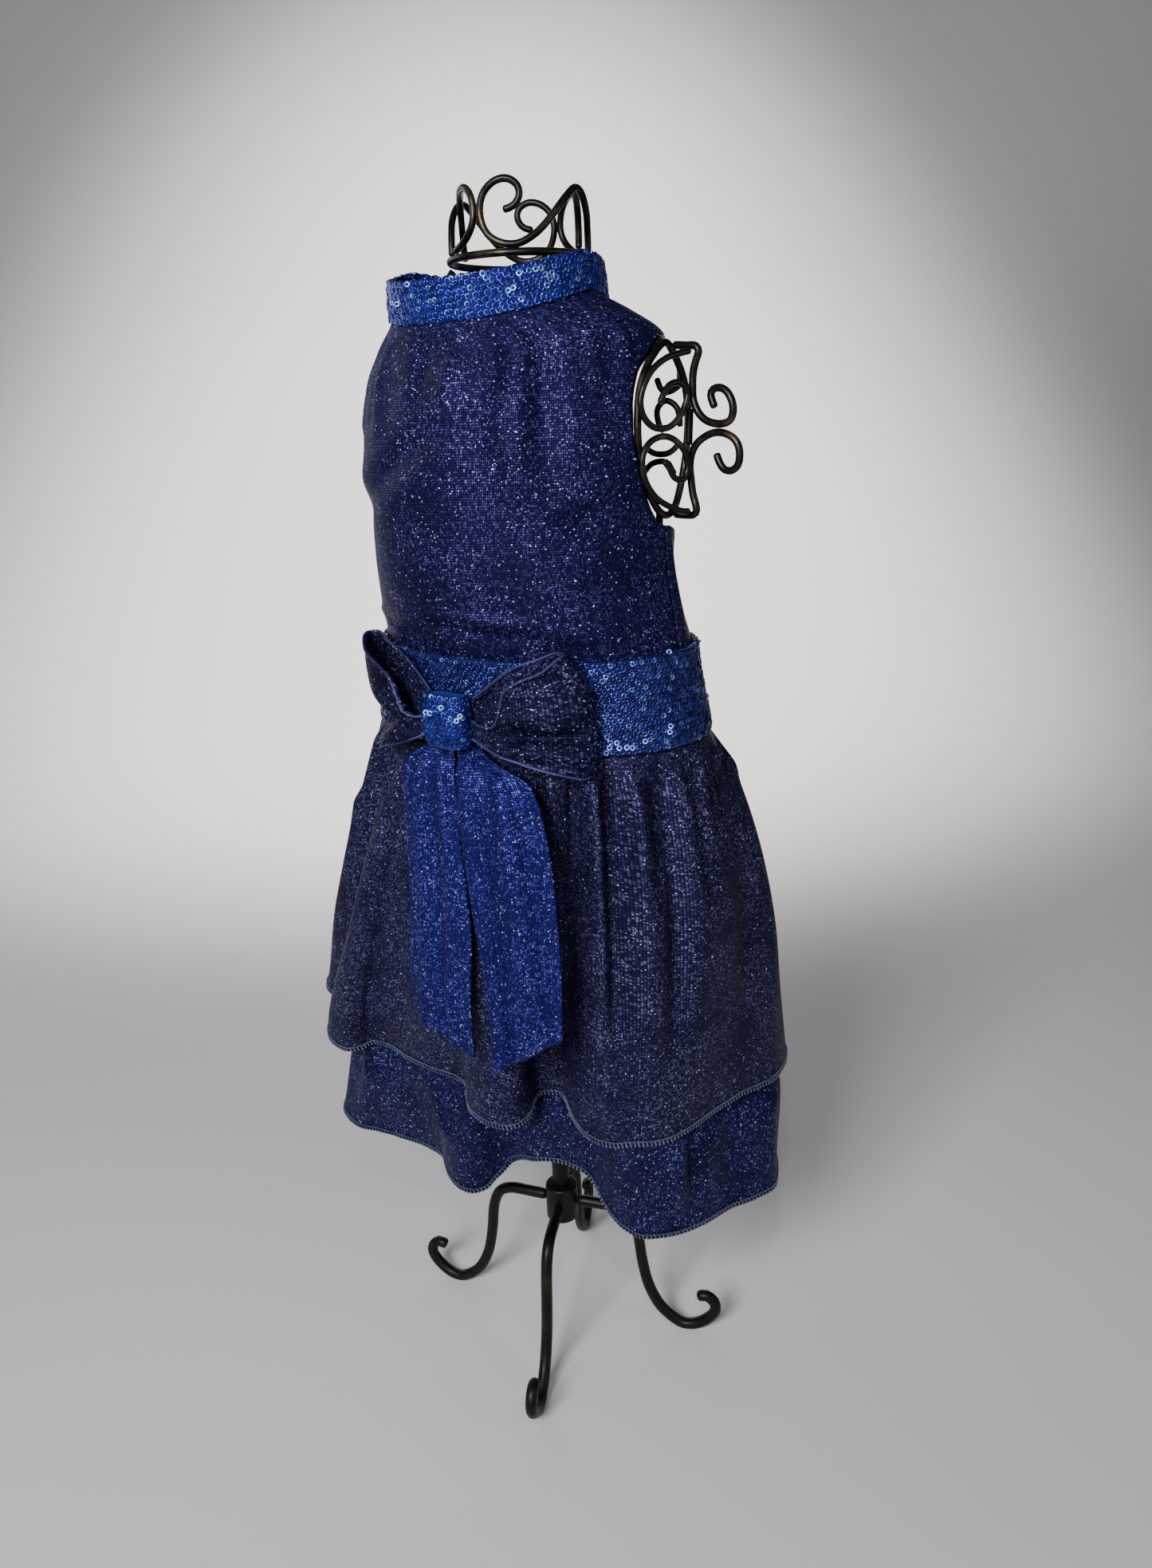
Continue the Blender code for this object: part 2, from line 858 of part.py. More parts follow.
CAP_SCROLLS = (
    ("scroll_upper", CAP_FRONT_PANEL, CAP_SCROLL_UPPER),
    ("scroll_lower", CAP_FRONT_PANEL, CAP_SCROLL_LOWER),
    ("hook_upper", CAP_REAR_PANEL, CAP_HOOK_UPPER),
    ("hook_middle", CAP_REAR_PANEL, CAP_HOOK_MIDDLE),
    ("hook_lower", CAP_REAR_PANEL, CAP_HOOK_LOWER),
    ("hook_bottom", CAP_REAR_PANEL, CAP_HOOK_BOTTOM),
)
CAP_CURLS = (("curl_upper", CAP_CURL_UPPER), ("curl_lower", CAP_CURL_LOWER), ("bar", CAP_BAR))


def shoulder_caps(material):
    for side, name in ((1, "right"), (-1, "left")):
        ring = [(side * x, y, z) for x, y, z in CAP_RING]
        wire(f"cap_ring_{name}", bent(ring, 6.6, closed=True), material, closed=True)
        for kind, panel, table in CAP_SCROLLS:
            points = bent(cap_scroll(table, side, panel), 5.2)
            wire(f"cap_{kind}_{name}", points, material, diameter=3.0)
        for kind, table in CAP_CURLS:
            rows = [(side * x, CAP_BAR_Y, z) for x, z in table]
            wire(f"cap_{kind}_{name}", bent(rows, 4.8), material)


def body_frame(material):
    """Plain hidden wires that carry neck, shoulders and hips on the post."""
    for side, name in ((1, "right"), (-1, "left")):
        rows = [
            (side * 30.2, -16.0, 624.9),
            (side * 40.0, -17.2, 614.5),
            (side * 51.5, -18.2, 606.6),
            (side * 64.2, -10.8, 598.6),
            (side * 76.2, -2.0, 587.4),
            (side * 80.5, 0.4, 586.2),
        ]
        wire(f"shoulder_wire_{name}", bent(rows, 7.0), material)
        rows = [
            (side * 79.2, 0.0, 511.5),
            (side * 78.3, 0.0, 497.0),
            (side * 78.3, 0.0, 470.0),
            (side * 82.0, 1.0, 430.0),
            (side * 79.0, 1.0, 380.0),
            (side * 70.0, 0.0, HIP_HEIGHT + WIRE / 2 + SEAM),
        ]
        wire(f"side_rib_{name}", bent(rows, 16.0), material)


def post_and_hub(material):
    for name, diameter, low, high in (
        ("post", POST_DIAMETER, HUB_HEIGHT + HUB_TALL / 2 + SEAM, HIP_HEIGHT + 8.0),
        ("hub", HUB_DIAMETER, HUB_HEIGHT - HUB_TALL / 2, HUB_HEIGHT + HUB_TALL / 2),
    ):
        mesh = bpy.data.meshes.new(name)
        net = bmesh.new()
        bmesh.ops.create_cone(net, cap_ends=True, segments=16, radius1=diameter / 2 * MM,
                              radius2=diameter / 2 * MM, depth=(high - low) * MM)
        rims = [e for e in net.edges if abs(e.verts[0].co.z - e.verts[1].co.z) < MM]
        bmesh.ops.bevel(net, geom=rims, offset=1.5 * MM, offset_type="OFFSET", segments=1,
                        profile=0.5, affect="EDGES", material=-1)
        net.to_mesh(mesh)
        net.free()
        thing = place(name, mesh, material)
        thing.location.z = (low + high) / 2 * MM


def hip_frame(material):
    points = [
        (70.0 * math.sin(math.tau * k / 30), -50.0 * math.cos(math.tau * k / 30), HIP_HEIGHT)
        for k in range(30)
    ]
    wire("hip_ring", points, material, closed=True)
    inner = POST_DIAMETER / 2 + SEAM
    for name, x, y, reach in (("right", 1, 0, 70.0), ("left", -1, 0, 70.0),
                              ("front", 0, -1, 50.0), ("back", 0, 1, 50.0)):
        outer = reach - WIRE / 2 - 2 * SEAM
        wire(f"hip_spoke_{name}", [(x * inner, y * inner, HIP_HEIGHT),
                                   (x * outer, y * outer, HIP_HEIGHT)], material)


def legs(material):
    """Four curled legs, each with a small flat under its foot where it meets the floor."""
    for number, angle in enumerate(LEG_ANGLES, 1):
        rows = [on_axis(angle, radius, height) for radius, height in LEG_PROFILE]
        rod = wire("rod", bent(rows, 8.0), material, diameter=LEG_WIRE, resolution=2)
        mesh = bpy.data.meshes.new_from_object(rod)
        bpy.data.objects.remove(rod, do_unlink=True)
        net = bmesh.new()
        net.from_mesh(mesh)
        bmesh.ops.remove_doubles(net, verts=net.verts, dist=0.01 * MM)
        everything = net.verts[:] + net.edges[:] + net.faces[:]
        bmesh.ops.bisect_plane(net, geom=everything, dist=0.001 * MM, plane_co=(0, 0, 0),
                               plane_no=(0, 0, 1), clear_inner=True)
        bmesh.ops.holes_fill(net, edges=[edge for edge in net.edges if edge.is_boundary], sides=0)
        net.to_mesh(mesh)
        net.free()
        mesh.materials.clear()
        place(f"leg_{number}", mesh, material)


clear_scene()
AXIS = bpy.data.objects.new("stand_axis", None)
AXIS.location = (AXIS_X * MM, AXIS_Y * MM, 0.0)
bpy.context.collection.objects.link(AXIS)

KNIT = finish("navy glitter knit", (0.016, 0.022, 0.105), 0.55)
SEQUIN = finish("royal blue sequins", (0.02, 0.07, 0.42), 0.28, 0.6)
IRON = finish("black iron wire", (0.012, 0.011, 0.010), 0.42, 0.85)

bodice_front(KNIT)
bodice_back(KNIT)
collar(SEQUIN)
belt(SEQUIN)
skirt("skirt_upper", UPPER_ROWS, KNIT)
skirt("skirt_lower", under_tier(tier_rows(LOWER_HEM, LOWER_DROPS, LOWER_INSET)), KNIT)
bow_loop("bow_loop_right", 1, KNIT)
bow_loop("bow_loop_left", -1, KNIT)
bow_knot(SEQUIN)
bow_tail("bow_tail_left", TAIL_LEFT, TAIL_LEFT_CUT, KNIT)
bow_tail("bow_tail_right", TAIL_RIGHT, TAIL_RIGHT_CUT, KNIT)
neck_ring(IRON)
crown(IRON)
shoulder_caps(IRON)
body_frame(IRON)
post_and_hub(IRON)
hip_frame(IRON)
legs(IRON)
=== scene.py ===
import math
import random

import bmesh
import bpy
import numpy as np
from mathutils import Matrix, Vector


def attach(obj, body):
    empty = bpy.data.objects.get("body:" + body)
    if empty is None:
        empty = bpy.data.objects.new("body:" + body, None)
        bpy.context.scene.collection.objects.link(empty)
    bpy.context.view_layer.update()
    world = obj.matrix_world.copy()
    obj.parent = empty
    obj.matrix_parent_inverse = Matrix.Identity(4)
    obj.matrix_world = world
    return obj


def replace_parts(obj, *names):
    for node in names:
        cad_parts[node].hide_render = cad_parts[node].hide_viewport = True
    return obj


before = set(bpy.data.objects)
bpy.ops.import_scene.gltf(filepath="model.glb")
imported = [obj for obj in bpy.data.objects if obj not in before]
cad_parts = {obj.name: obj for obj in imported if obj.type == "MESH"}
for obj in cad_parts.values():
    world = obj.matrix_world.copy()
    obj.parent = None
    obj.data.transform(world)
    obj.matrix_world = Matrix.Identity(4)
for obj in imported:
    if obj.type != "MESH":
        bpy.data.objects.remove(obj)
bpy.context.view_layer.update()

# The stand: four 7 mm iron rods, bent cold into legs that curl up at the foot, welded round a
# turned hub that carries the post. Black paint over the rolled skin of the bar, each foot filed
# flat where it meets the floor.

MM = 0.001
STAND_AXIS = Vector((15.6, -3.2, 0.0))
LEG_ANGLES = (26.2, 113.0, 208.0, 286.0)
LEG_ROD, HUB, POST = 7.0, 20.0, 11.0
LEG_BEND = [
    # radius height
    (10.4, 85.5), (24, 85.2), (36, 84.2), (44, 79), (48.6, 67), (51, 48), (55, 29), (62.5, 13.5),
    (73.5, 3.9), (81, 2.5), (89, 5.8), (96.6, 13.6), (97.6, 21), (92.6, 26.4), (86.4, 25.2),
]


def on_axis(angle, radius, height):
    """Point round the stand's axis, in millimetres, from the dress front towards +X."""
    turn = math.radians(angle)
    return Vector((radius * math.sin(turn), -radius * math.cos(turn), height))


def spline_at(rows, place_on, closed=False):
    """Catmull-Rom value between rows; place_on counts rows from 0."""
    index = math.floor(place_on)
    share = place_on - index
    if closed:
        before, start, end, after = (rows[(index + k) % len(rows)] for k in (-1, 0, 1, 2))
    else:
        last = len(rows) - 1
        before, start, end, after = (rows[max(0, min(last, index + k))] for k in (-1, 0, 1, 2))
    return tuple(
        0.5 * (2 * b + (c - a) * share + (2 * a - 5 * b + 4 * c - d) * share**2
               + (3 * b - a - 3 * c + d) * share**3)
        for a, b, c, d in zip(before, start, end, after)
    )


def bent(rows, spacing, closed=False):
    """Evenly spaced points along a smooth curve through rows."""
    steps = 16
    spans = len(rows) if closed else len(rows) - 1
    fine = [Vector(spline_at(rows, i / steps, closed)) for i in range(spans * steps + 1)]
    lengths = [0.0]
    for start, end in zip(fine, fine[1:]):
        lengths.append(lengths[-1] + (end - start).length)
    pieces = max(3, round(lengths[-1] / spacing))
    wanted = np.linspace(0.0, lengths[-1], pieces + 1)
    columns = [np.interp(wanted, lengths, [p[k] for p in fine]) for k in range(3)]
    points = [Vector(p) for p in zip(*columns)]
    return points[:-1] if closed else points


def in_scene(name, data):
    """A new object in the scene."""
    made = bpy.data.objects.new(name, data)
    bpy.context.scene.collection.objects.link(made)
    return made


# How a cut end of wire rounds over: how far from the tip, in diameters, and how thick there.
WIRE_TIP = ((0.0, 0.4), (0.05, 0.72), (0.16, 0.9), (0.4, 1.0))


def round_wires(name, lines, diameter, material, ends=True):
    """Round wires of one diameter along lines of points, each with whether it is closed."""
    curve = bpy.data.curves.new(name, "CURVE")
    curve.dimensions = "3D"
    curve.bevel_depth = diameter / 2 * MM
    curve.bevel_resolution = 4
    curve.use_fill_caps = True
    for points, closed in lines:
        sizes = [1.0] * len(points)
        if ends and not closed:
            tip = [size for _, size in WIRE_TIP]
            sizes = tip + sizes[1:-1] + tip[::-1]
            head, foot = ([end + (near - end).normalized() * diameter * far for far, _ in WIRE_TIP]
                          for end, near in ((points[0], points[1]), (points[-1], points[-2])))
            points = head + points[1:-1] + foot[::-1]
        spline = curve.splines.new("POLY")
        spline.points.add(len(points) - 1)
        spline.use_cyclic_u = closed
        for knot, point, size in zip(spline.points, points, sizes):
            knot.co = (*((point + STAND_AXIS) * MM), 1.0)
            knot.radius = size
    curve.materials.append(material)
    return in_scene(name, curve)


def feed(tree, node, inputs):
    """Give a shader node its inputs, each a value or the socket that it is wired to."""
    for key, value in inputs.items():
        if isinstance(value, bpy.types.NodeSocket):
            tree.links.new(value, node.inputs[key])
        else:
            node.inputs[key].default_value = value


def add_node(tree, kind, inputs, **settings):
    """A shader node with its inputs and settings."""
    made = tree.nodes.new("ShaderNode" + kind)
    for key, value in settings.items():
        setattr(made, key, value)
    feed(tree, made, inputs)
    return made


def calc(tree, operation, first, second=0.0, third=0.0):
    """A Math node's result."""
    made = add_node(tree, "Math", {0: first, 1: second, 2: third}, operation=operation)
    return made.outputs[0]


def blend_colour(tree, share, low, high):
    """A colour between low and high, each a socket or red, green and blue."""
    low, high = (c if isinstance(c, bpy.types.NodeSocket) else (*c, 1.0) for c in (low, high))
    made = add_node(tree, "Mix", {0: share, 6: low, 7: high}, data_type="RGBA")
    return made.outputs[2]


def new_finish(name):
    """An empty material, its node tree and its shader."""
    material = bpy.data.materials.new(name)
    material.use_nodes = True
    tree = material.node_tree
    return material, tree, tree.nodes["Principled BSDF"]


def iron_finish(name, rubbed, roughness):
    """Black painted iron; rubbed is how far the warm metal shows through."""
    material, tree, shader = new_finish(name)
    place = add_node(tree, "TexCoord", {}).outputs["Object"]
    skin = add_node(tree, "TexNoise", {"Vector": place, "Scale": 420.0, "Detail": 4.0})
    patches = add_node(tree, "TexNoise", {"Vector": place, "Scale": 70.0, "Detail": 3.0})
    worn = calc(tree, "MULTIPLY_ADD", patches.outputs[0], 6.0, -3.2)
    worn = calc(tree, "MULTIPLY", calc(tree, "MAXIMUM", worn, 0.0), rubbed)
    worn = calc(tree, "MINIMUM", worn, 1.0)
    black, bare = (0.012, 0.0105, 0.009), (0.11, 0.082, 0.048)
    rough = calc(tree, "MULTIPLY_ADD", skin.outputs[0], 0.22, roughness - 0.11)
    bump = add_node(tree, "Bump", {"Height": skin.outputs[0], "Strength": 0.35,
                                   "Distance": 0.25 * MM})
    feed(tree, shader, {"Base Color": blend_colour(tree, worn, black, bare), "Metallic": 0.75,
                        "Roughness": rough, "Normal": bump.outputs[0]})
    return material


STAND_IRON = iron_finish("stand black iron", 0.15, 0.45)

rods = round_wires("rods", [(bent([on_axis(angle, r, z) for r, z in LEG_BEND], 3.0), False)
                            for angle in LEG_ANGLES], LEG_ROD, STAND_IRON)
mesh = bpy.data.meshes.new_from_object(rods)
bpy.data.objects.remove(rods, do_unlink=True)
net = bmesh.new()
net.from_mesh(mesh)
bmesh.ops.remove_doubles(net, verts=net.verts, dist=0.01 * MM)
bmesh.ops.bisect_plane(net, geom=net.verts[:] + net.edges[:] + net.faces[:], dist=0.001 * MM,
                       plane_co=(0, 0, 0), plane_no=(0, 0, 1), clear_inner=True)
bmesh.ops.holes_fill(net, edges=[edge for edge in net.edges if edge.is_boundary], sides=0)
net.to_mesh(mesh)
net.free()
mesh.shade_smooth()
legs = in_scene("stand_legs", mesh)
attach(legs, "root")
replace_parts(legs, "leg_1", "leg_2", "leg_3", "leg_4")


def turned_rod(name, diameter, low, high, edge):
    """An upright rod on the axis with its two rims rounded over."""
    net = bmesh.new()
    bmesh.ops.create_cone(net, cap_ends=True, segments=40, radius1=diameter / 2 * MM,
                          radius2=diameter / 2 * MM, depth=(high - low) * MM)
    rims = [e for e in net.edges if abs(e.verts[0].co.z - e.verts[1].co.z) < 0.1 * MM]
    bmesh.ops.bevel(net, geom=rims, offset=edge * MM, offset_type="OFFSET", segments=4,
                    profile=0.5, affect="EDGES", material=-1)
    bmesh.ops.translate(net, verts=net.verts,
                        vec=(STAND_AXIS + Vector((0, 0, (low + high) / 2))) * MM)
    mesh = bpy.data.meshes.new(name)
    net.to_mesh(mesh)
    net.free()
    mesh.shade_smooth()
    mesh.materials.append(STAND_IRON)
    made = in_scene(name, mesh)
    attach(made, "root")
    return made


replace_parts(turned_rod("stand_hub", HUB, 73.0, 97.0, 1.5), "hub")
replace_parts(turned_rod("stand_post", POST, 97.3, 338.0, 1.2), "post")

# The body frame: plain 3.6 mm wires that the dress hides. A hip ring on four spokes is welded
# to the post, two ribs rise from it at the sides, and two wires cross from neck to shoulder.
# All are black iron wire.

WIRE = 3.6
BODY_IRON = iron_finish("body wire black iron", 0.4, 0.4)
HIP_HEIGHT, HIP_HALF, HIP_DEPTH = 330.0, 70.0, 50.0
SPOKE_START = 5.8
# Where each spoke points and how far it reaches.
SPOKES = ((1, 0, 67.6), (-1, 0, 67.6), (0, -1, 47.6), (0, 1, 47.6))
SHOULDER_WIRE = [(30.2, -16, 624.9), (40, -17.2, 614.5), (51.5, -18.2, 606.6),
                 (64.2, -10.8, 598.6), (76.2, -2, 587.4), (80.5, 0.4, 586.2)]
SIDE_RIB = [(79.2, 0, 511.5), (78.3, 0, 497), (78.3, 0, 470), (82, 1, 430), (79, 1, 380),
            (70, 0, 332.1)]

hip_turns = [math.tau * k / 24 for k in range(24)]
frame_lines = [(bent([(HIP_HALF * math.sin(turn), -HIP_DEPTH * math.cos(turn), HIP_HEIGHT)
                      for turn in hip_turns], 5.0, closed=True), True)]
for x, y, reach in SPOKES:
    spoke = [Vector((x * far, y * far, HIP_HEIGHT)) for far in (SPOKE_START, 20.0, reach)]
    frame_lines.append((spoke, False))
for side in (1, -1):
    for rows in (SHOULDER_WIRE, SIDE_RIB):
        frame_lines.append((bent([(side * x, y, z) for x, y, z in rows], 4.0), False))
body_frame = round_wires("body_frame", frame_lines, WIRE, BODY_IRON, ends=False)
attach(body_frame, "root")
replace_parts(body_frame, "hip_ring", "hip_spoke_back", "hip_spoke_front", "hip_spoke_left",
            "hip_spoke_right", "side_rib_left", "side_rib_right", "shoulder_wire_left",
            "shoulder_wire_right")

# The neck: a ring of 3.6 mm wire with a crown of scrolls standing on it. Each half is one long
# wave that curls over at its start and one leaf that leans back over the ring, all bent by hand
# from black wire and welded where they touch.

CROWN_IRON = iron_finish("crown wire black iron", 0.5, 0.36)
CROWN_WAVE = [
    # angle radius height
    (27.5, 32.75, 645.7), (33.5, 32.75, 646.6), (37.8, 32.75, 648.2), (41, 32.75, 651.8),
    (38.9, 32.75, 655.9), (30.8, 32.75, 658.4), (20.2, 32.75, 657.3), (11, 32.75, 653),
    (7.2, 32.75, 646.8), (9.2, 32.75, 640.1), (15.8, 32.75, 634.9), (27.5, 32.75, 631.8),
    (39.5, 32.75, 631.8), (51.3, 32.75, 635.1), (59.8, 32.75, 639), (69.6, 32.75, 644.6),
    (80.7, 32.75, 651), (93.5, 32.75, 656), (105.7, 32.75, 654), (118.8, 32.75, 647.2),
    (126.6, 32.75, 640), (130.5, 32.9, 630.9),
]
CROWN_LEAF = [
    (-29, 32.8, 631.6), (-16, 32.8, 633.4), (-6, 32.7, 637.4), (-0.6, 32.5, 642.6),
    (-0.4, 32.1, 648.2), (-4.2, 31.4, 653.6), (-14, 29.9, 657.4), (-30, 28.2, 658),
    (-46, 27.6, 655.8), (-61, 28.3, 651), (-72, 30, 644.6), (-79.5, 31.8, 637.4),
    (-83.5, 32.9, 630.5),
]
CROWN_SIZE = 3.4
NECK_RADIUS, NECK_HEIGHT = 34.0, 628.0

neck_circle = [on_axis(12.0 * k, NECK_RADIUS, NECK_HEIGHT) for k in range(30)]
neck_ring = round_wires("neck_ring_wire", [(bent(neck_circle, 3.0, closed=True), True)], WIRE,
                        CROWN_IRON)
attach(neck_ring, "root")
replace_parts(neck_ring, "neck_ring")
crown_lines = []
for turned in (0.0, 180.0):
    for table in (CROWN_WAVE, CROWN_LEAF):
        rows = [on_axis(angle + turned, radius, height) for angle, radius, height in table]
        crown_lines.append((bent(rows, 1.6), False))
crown = round_wires("crown_scrolls", crown_lines, CROWN_SIZE, CROWN_IRON)
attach(crown, "root")
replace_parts(crown, "crown_wave_front", "crown_wave_back", "crown_leaf_front", "crown_leaf_back")

# The shoulder caps: on each side an upright wire ring fills the armhole, with a front panel and
# a rear panel of small scrolls between it and two outer wires that end in curls. Black wire,
# bent by hand and welded.

CAP_IRON = iron_finish("shoulder wire black iron", 0.7, 0.34)
CAP_SIDE = 83.0
CAP_RING = [
    # y height
    (0, 586.4), (-10.7, 580.4), (-17.6, 572.9), (-21.6, 564.4), (-23.2, 553), (-22.6, 541),
    (-19.3, 529.3), (-13.7, 519.9), (-6.5, 512.4), (1, 510), (8, 514.4), (14.4, 528), (17.8, 541),
    (19, 555), (16.5, 568), (9.5, 579),
]
# Two panels of scrolls: where each starts and ends in plan, then rows of share across, height.
CAP_FRONT_PANEL = ((86.3, -24.9), (97.5, 3.0))
CAP_REAR_PANEL = ((81.0, 17.2), (58.0, 12.0))
CAP_SCROLLS = (
    (CAP_FRONT_PANEL, [(0.89, 582.0), (0.757, 581.4), (0.46, 579.2), (0.207, 574.4),
                       (0.048, 567.7), (-0.015, 560.9), (0.037, 554.9), (0.185, 550.6),
                       (0.344, 549.4), (0.534, 550.4), (0.714, 555.1), (0.831, 562.0),
                       (0.81, 566.4), (0.661, 568.9), (0.513, 567.9), (0.408, 564.5),
                       (0.333, 560.2)]),
    (CAP_FRONT_PANEL, [(0.87, 512.3), (0.746, 512.4), (0.524, 514.6), (0.259, 519.1),
                       (0.08, 525.7), (0.006, 533.0), (0.027, 539.1), (0.164, 544.1),
                       (0.386, 546.0), (0.598, 544.2), (0.788, 538.7), (0.841, 531.8),
                       (0.788, 527.4), (0.693, 526.4), (0.577, 528.1), (0.492, 532.3),
                       (0.397, 535.3)]),
    (CAP_REAR_PANEL, [(0.15, 581.3), (0.06, 575.9), (0.05, 572.3), (0.06, 568.2),
                      (0.29, 565.3), (0.45, 566.8), (0.54, 571.8)]),
    (CAP_REAR_PANEL, [(0.05, 549.4), (0.06, 554.0), (0.13, 558.7), (0.34, 561.5),
                      (0.50, 559.0), (0.54, 555.3), (0.48, 549.7), (0.39, 547.4)]),
    (CAP_REAR_PANEL, [(0.80, 540.2), (0.60, 537.4), (0.35, 537.2), (0.17, 539.4),
                      (0.05, 543.0)]),
    (CAP_REAR_PANEL, [(0.83, 528.6), (0.69, 532.3), (0.49, 533.7), (0.32, 533.0),
                      (0.24, 530.3), (0.17, 527.4)]),
)
CAP_BAR_Y = 3.0
SCROLL_WIRE = 3.0
CAP_OUTER = (
    # x and height along the upper curl, the lower curl and the bar between them
    [(85.4, 585.2), (92.0, 584.6), (97.0, 584.2), (98.7, 581.6), (97.1, 577.5), (95.8, 572.4),
     (95.6, 566.3), (96.0, 561.1), (98.5, 555.9), (102.2, 552.5), (107.1, 550.8), (111.8, 550.7),
     (115.4, 552.2), (116.7, 556.1), (115.9, 560.4), (113.2, 564.4), (109.6, 566.0),
     (106.2, 565.3), (105.2, 562.6), (107.3, 557.4)],
    [(85.4, 510.2), (92.0, 509.9), (96.6, 510.4), (97.6, 513.2), (95.7, 519.7), (94.6, 527.1),
     (94.1, 532.5), (95.2, 538.0), (97.9, 542.2), (102.3, 545.2), (107.1, 546.8), (111.8, 546.6),
     (116.6, 544.6), (119.4, 541.3), (120.3, 536.9), (119.3, 532.5), (116.2, 530.3),
     (112.5, 530.7), (109.8, 533.9), (108.2, 537.9)],
    [(94.0, 557.5), (93.7, 549.5), (93.4, 541.5)],
)
CAP_NODES = ("ring", "scroll_upper", "scroll_lower", "hook_upper", "hook_middle", "hook_lower",
             "hook_bottom", "curl_upper", "curl_lower", "bar")


def in_panel(panel, share, height):
    """Point of a panel of scrolls."""
    (start_x, start_y), (end_x, end_y) = panel
    return (start_x + (end_x - start_x) * share, start_y + (end_y - start_y) * share, height)


for side, name in ((1, "right"), (-1, "left")):
    def mirrored(rows):
        return [(side * x, y, z) for x, y, z in rows]

    ring = mirrored([(CAP_SIDE, y, z) for y, z in CAP_RING])
    outer = [(bent(ring, 2.0, closed=True), True)]
    outer += [(bent(mirrored([(x, CAP_BAR_Y, z) for x, z in rows]), 1.5), False)
              for rows in CAP_OUTER]
    inner = [(bent(mirrored([in_panel(panel, share, z) for share, z in rows]), 1.5), False)
             for panel, rows in CAP_SCROLLS]
    for part, lines, size, members in (("frame", outer, WIRE, (0, 7, 8, 9)),
                                       ("scrolls", inner, SCROLL_WIRE, (1, 2, 3, 4, 5, 6))):
        cap = round_wires(f"shoulder_{part}_{name}", lines, size, CAP_IRON)
        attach(cap, "root")
        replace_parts(cap, *(f"cap_{CAP_NODES[k]}_{name}" for k in members))

# The bodice front: one panel of navy glitter knit from side seam to side seam, cut away at each
# armhole and eased into the collar. It hangs on the wire shoulders in soft vertical drapes.
# The knit has fine wale rows along its length and loose foil flakes.

KNIT_WALL = 1.2
BODICE_SECTIONS = [
    # front  side   back   half   front  back  middle
    (440.0, 440.0, 440.0, 90.0, 66.0, 58.0, 0.0),
    (448.0, 448.0, 448.0, 89.6, 66.6, 57.0, 0.0),
    (463.0, 463.0, 462.0, 87.0, 73.0, 48.0, 0.0),
    (485.0, 485.0, 480.0, 83.5, 79.0, 42.0, 0.0),
    (505.0, 505.0, 493.0, 83.0, 80.0, 40.0, 0.0),
    (530.0, 530.0, 524.0, 88.0, 79.0, 41.0, 0.0),
    (552.0, 552.0, 552.0, 87.5, 77.0, 43.0, 0.0),
    (572.0, 573.0, 574.0, 84.5, 70.8, 42.0, -1.0),
    (586.0, 591.0, 590.0, 79.5, 65.0, 39.0, -2.0),
    (592.5, 602.0, 599.0, 67.0, 65.0, 34.0, -11.0),
    (597.3, 610.2, 603.5, 54.4, 65.8, 29.0, -18.7),
]
ARMHOLE_FRONT = [
    # height, Y where the front panel ends
    (505, 0), (506.3, -5), (509.5, -9.5), (514.5, -14.2), (523, -19.8), (530, -23), (541, -25.6),
    (552, -26.2), (564, -24.6), (573, -21), (580.4, -14.8), (586, -7.5), (591, -2),
]
SEAM_ANGLE = 0.57
ARMHOLE_BOTTOM, ARMHOLE_TOP, NECK_SIDE = 505.0, 591.0, 610.2
# Soft ridges (+) and troughs (-) of the front: angle and height of both ends, width, rise.
FRONT_CREASES = [
    # angle height angle height width rise
    (-20, 530, 16, 560, 8, -2.4), (-20, 518, 14, 545, 9, 1.6), (26, 560, 33, 528, 6.5, 3.6),
    (33, 530, 47, 517, 6, 2.6), (39.5, 598, 42, 530, 5.5, -3.4), (-60, 622, -66, 560, 20, -8),
    (46, 518, 58, 524, 6, 2.2), (48, 602, 50, 540, 5.5, 2), (59, 603, 55, 548, 5.4, 1.3),
    (66, 603, 62, 568, 4.4, -1.1), (73, 605, 70, 576, 3.8, 1.3), (79, 603, 75, 586, 3.2, -1.2),
    (22, 596, 24, 560, 5.5, -3), (31, 598, 34, 540, 6, 3.4), (11, 598, 8, 562, 5.5, 3.2),
    (-4, 597, -4, 566, 5, -3), (-29, 595, -24, 556, 6, 3), (-38, 598, -32, 560, 5, -3),
    (-48, 602, -46, 556, 5, 2.8), (-71, 605, -68, 575, 3.2, 2.4), (-24, 536, -52, 526, 8, 1.8),
    (-30, 522, -58, 510, 8, -1.8), (4, 468, 33, 464, 3.2, 2.6), (0, 460.5, 30, 457.5, 2.8, -2.4),
    (-20, 465, 0, 469, 3.2, 2.4), (-34, 458, -12, 456, 2.8, -2.2), (40, 459, 62, 456, 3.2, 1.1),
    (-64, 460, -40, 463, 3, 1.2), (62, 508, 84, 494, 5, 1.1), (-62, 508, -84, 494, 5, 1.1),
    (58, 482, 70, 452, 6, -1),
]


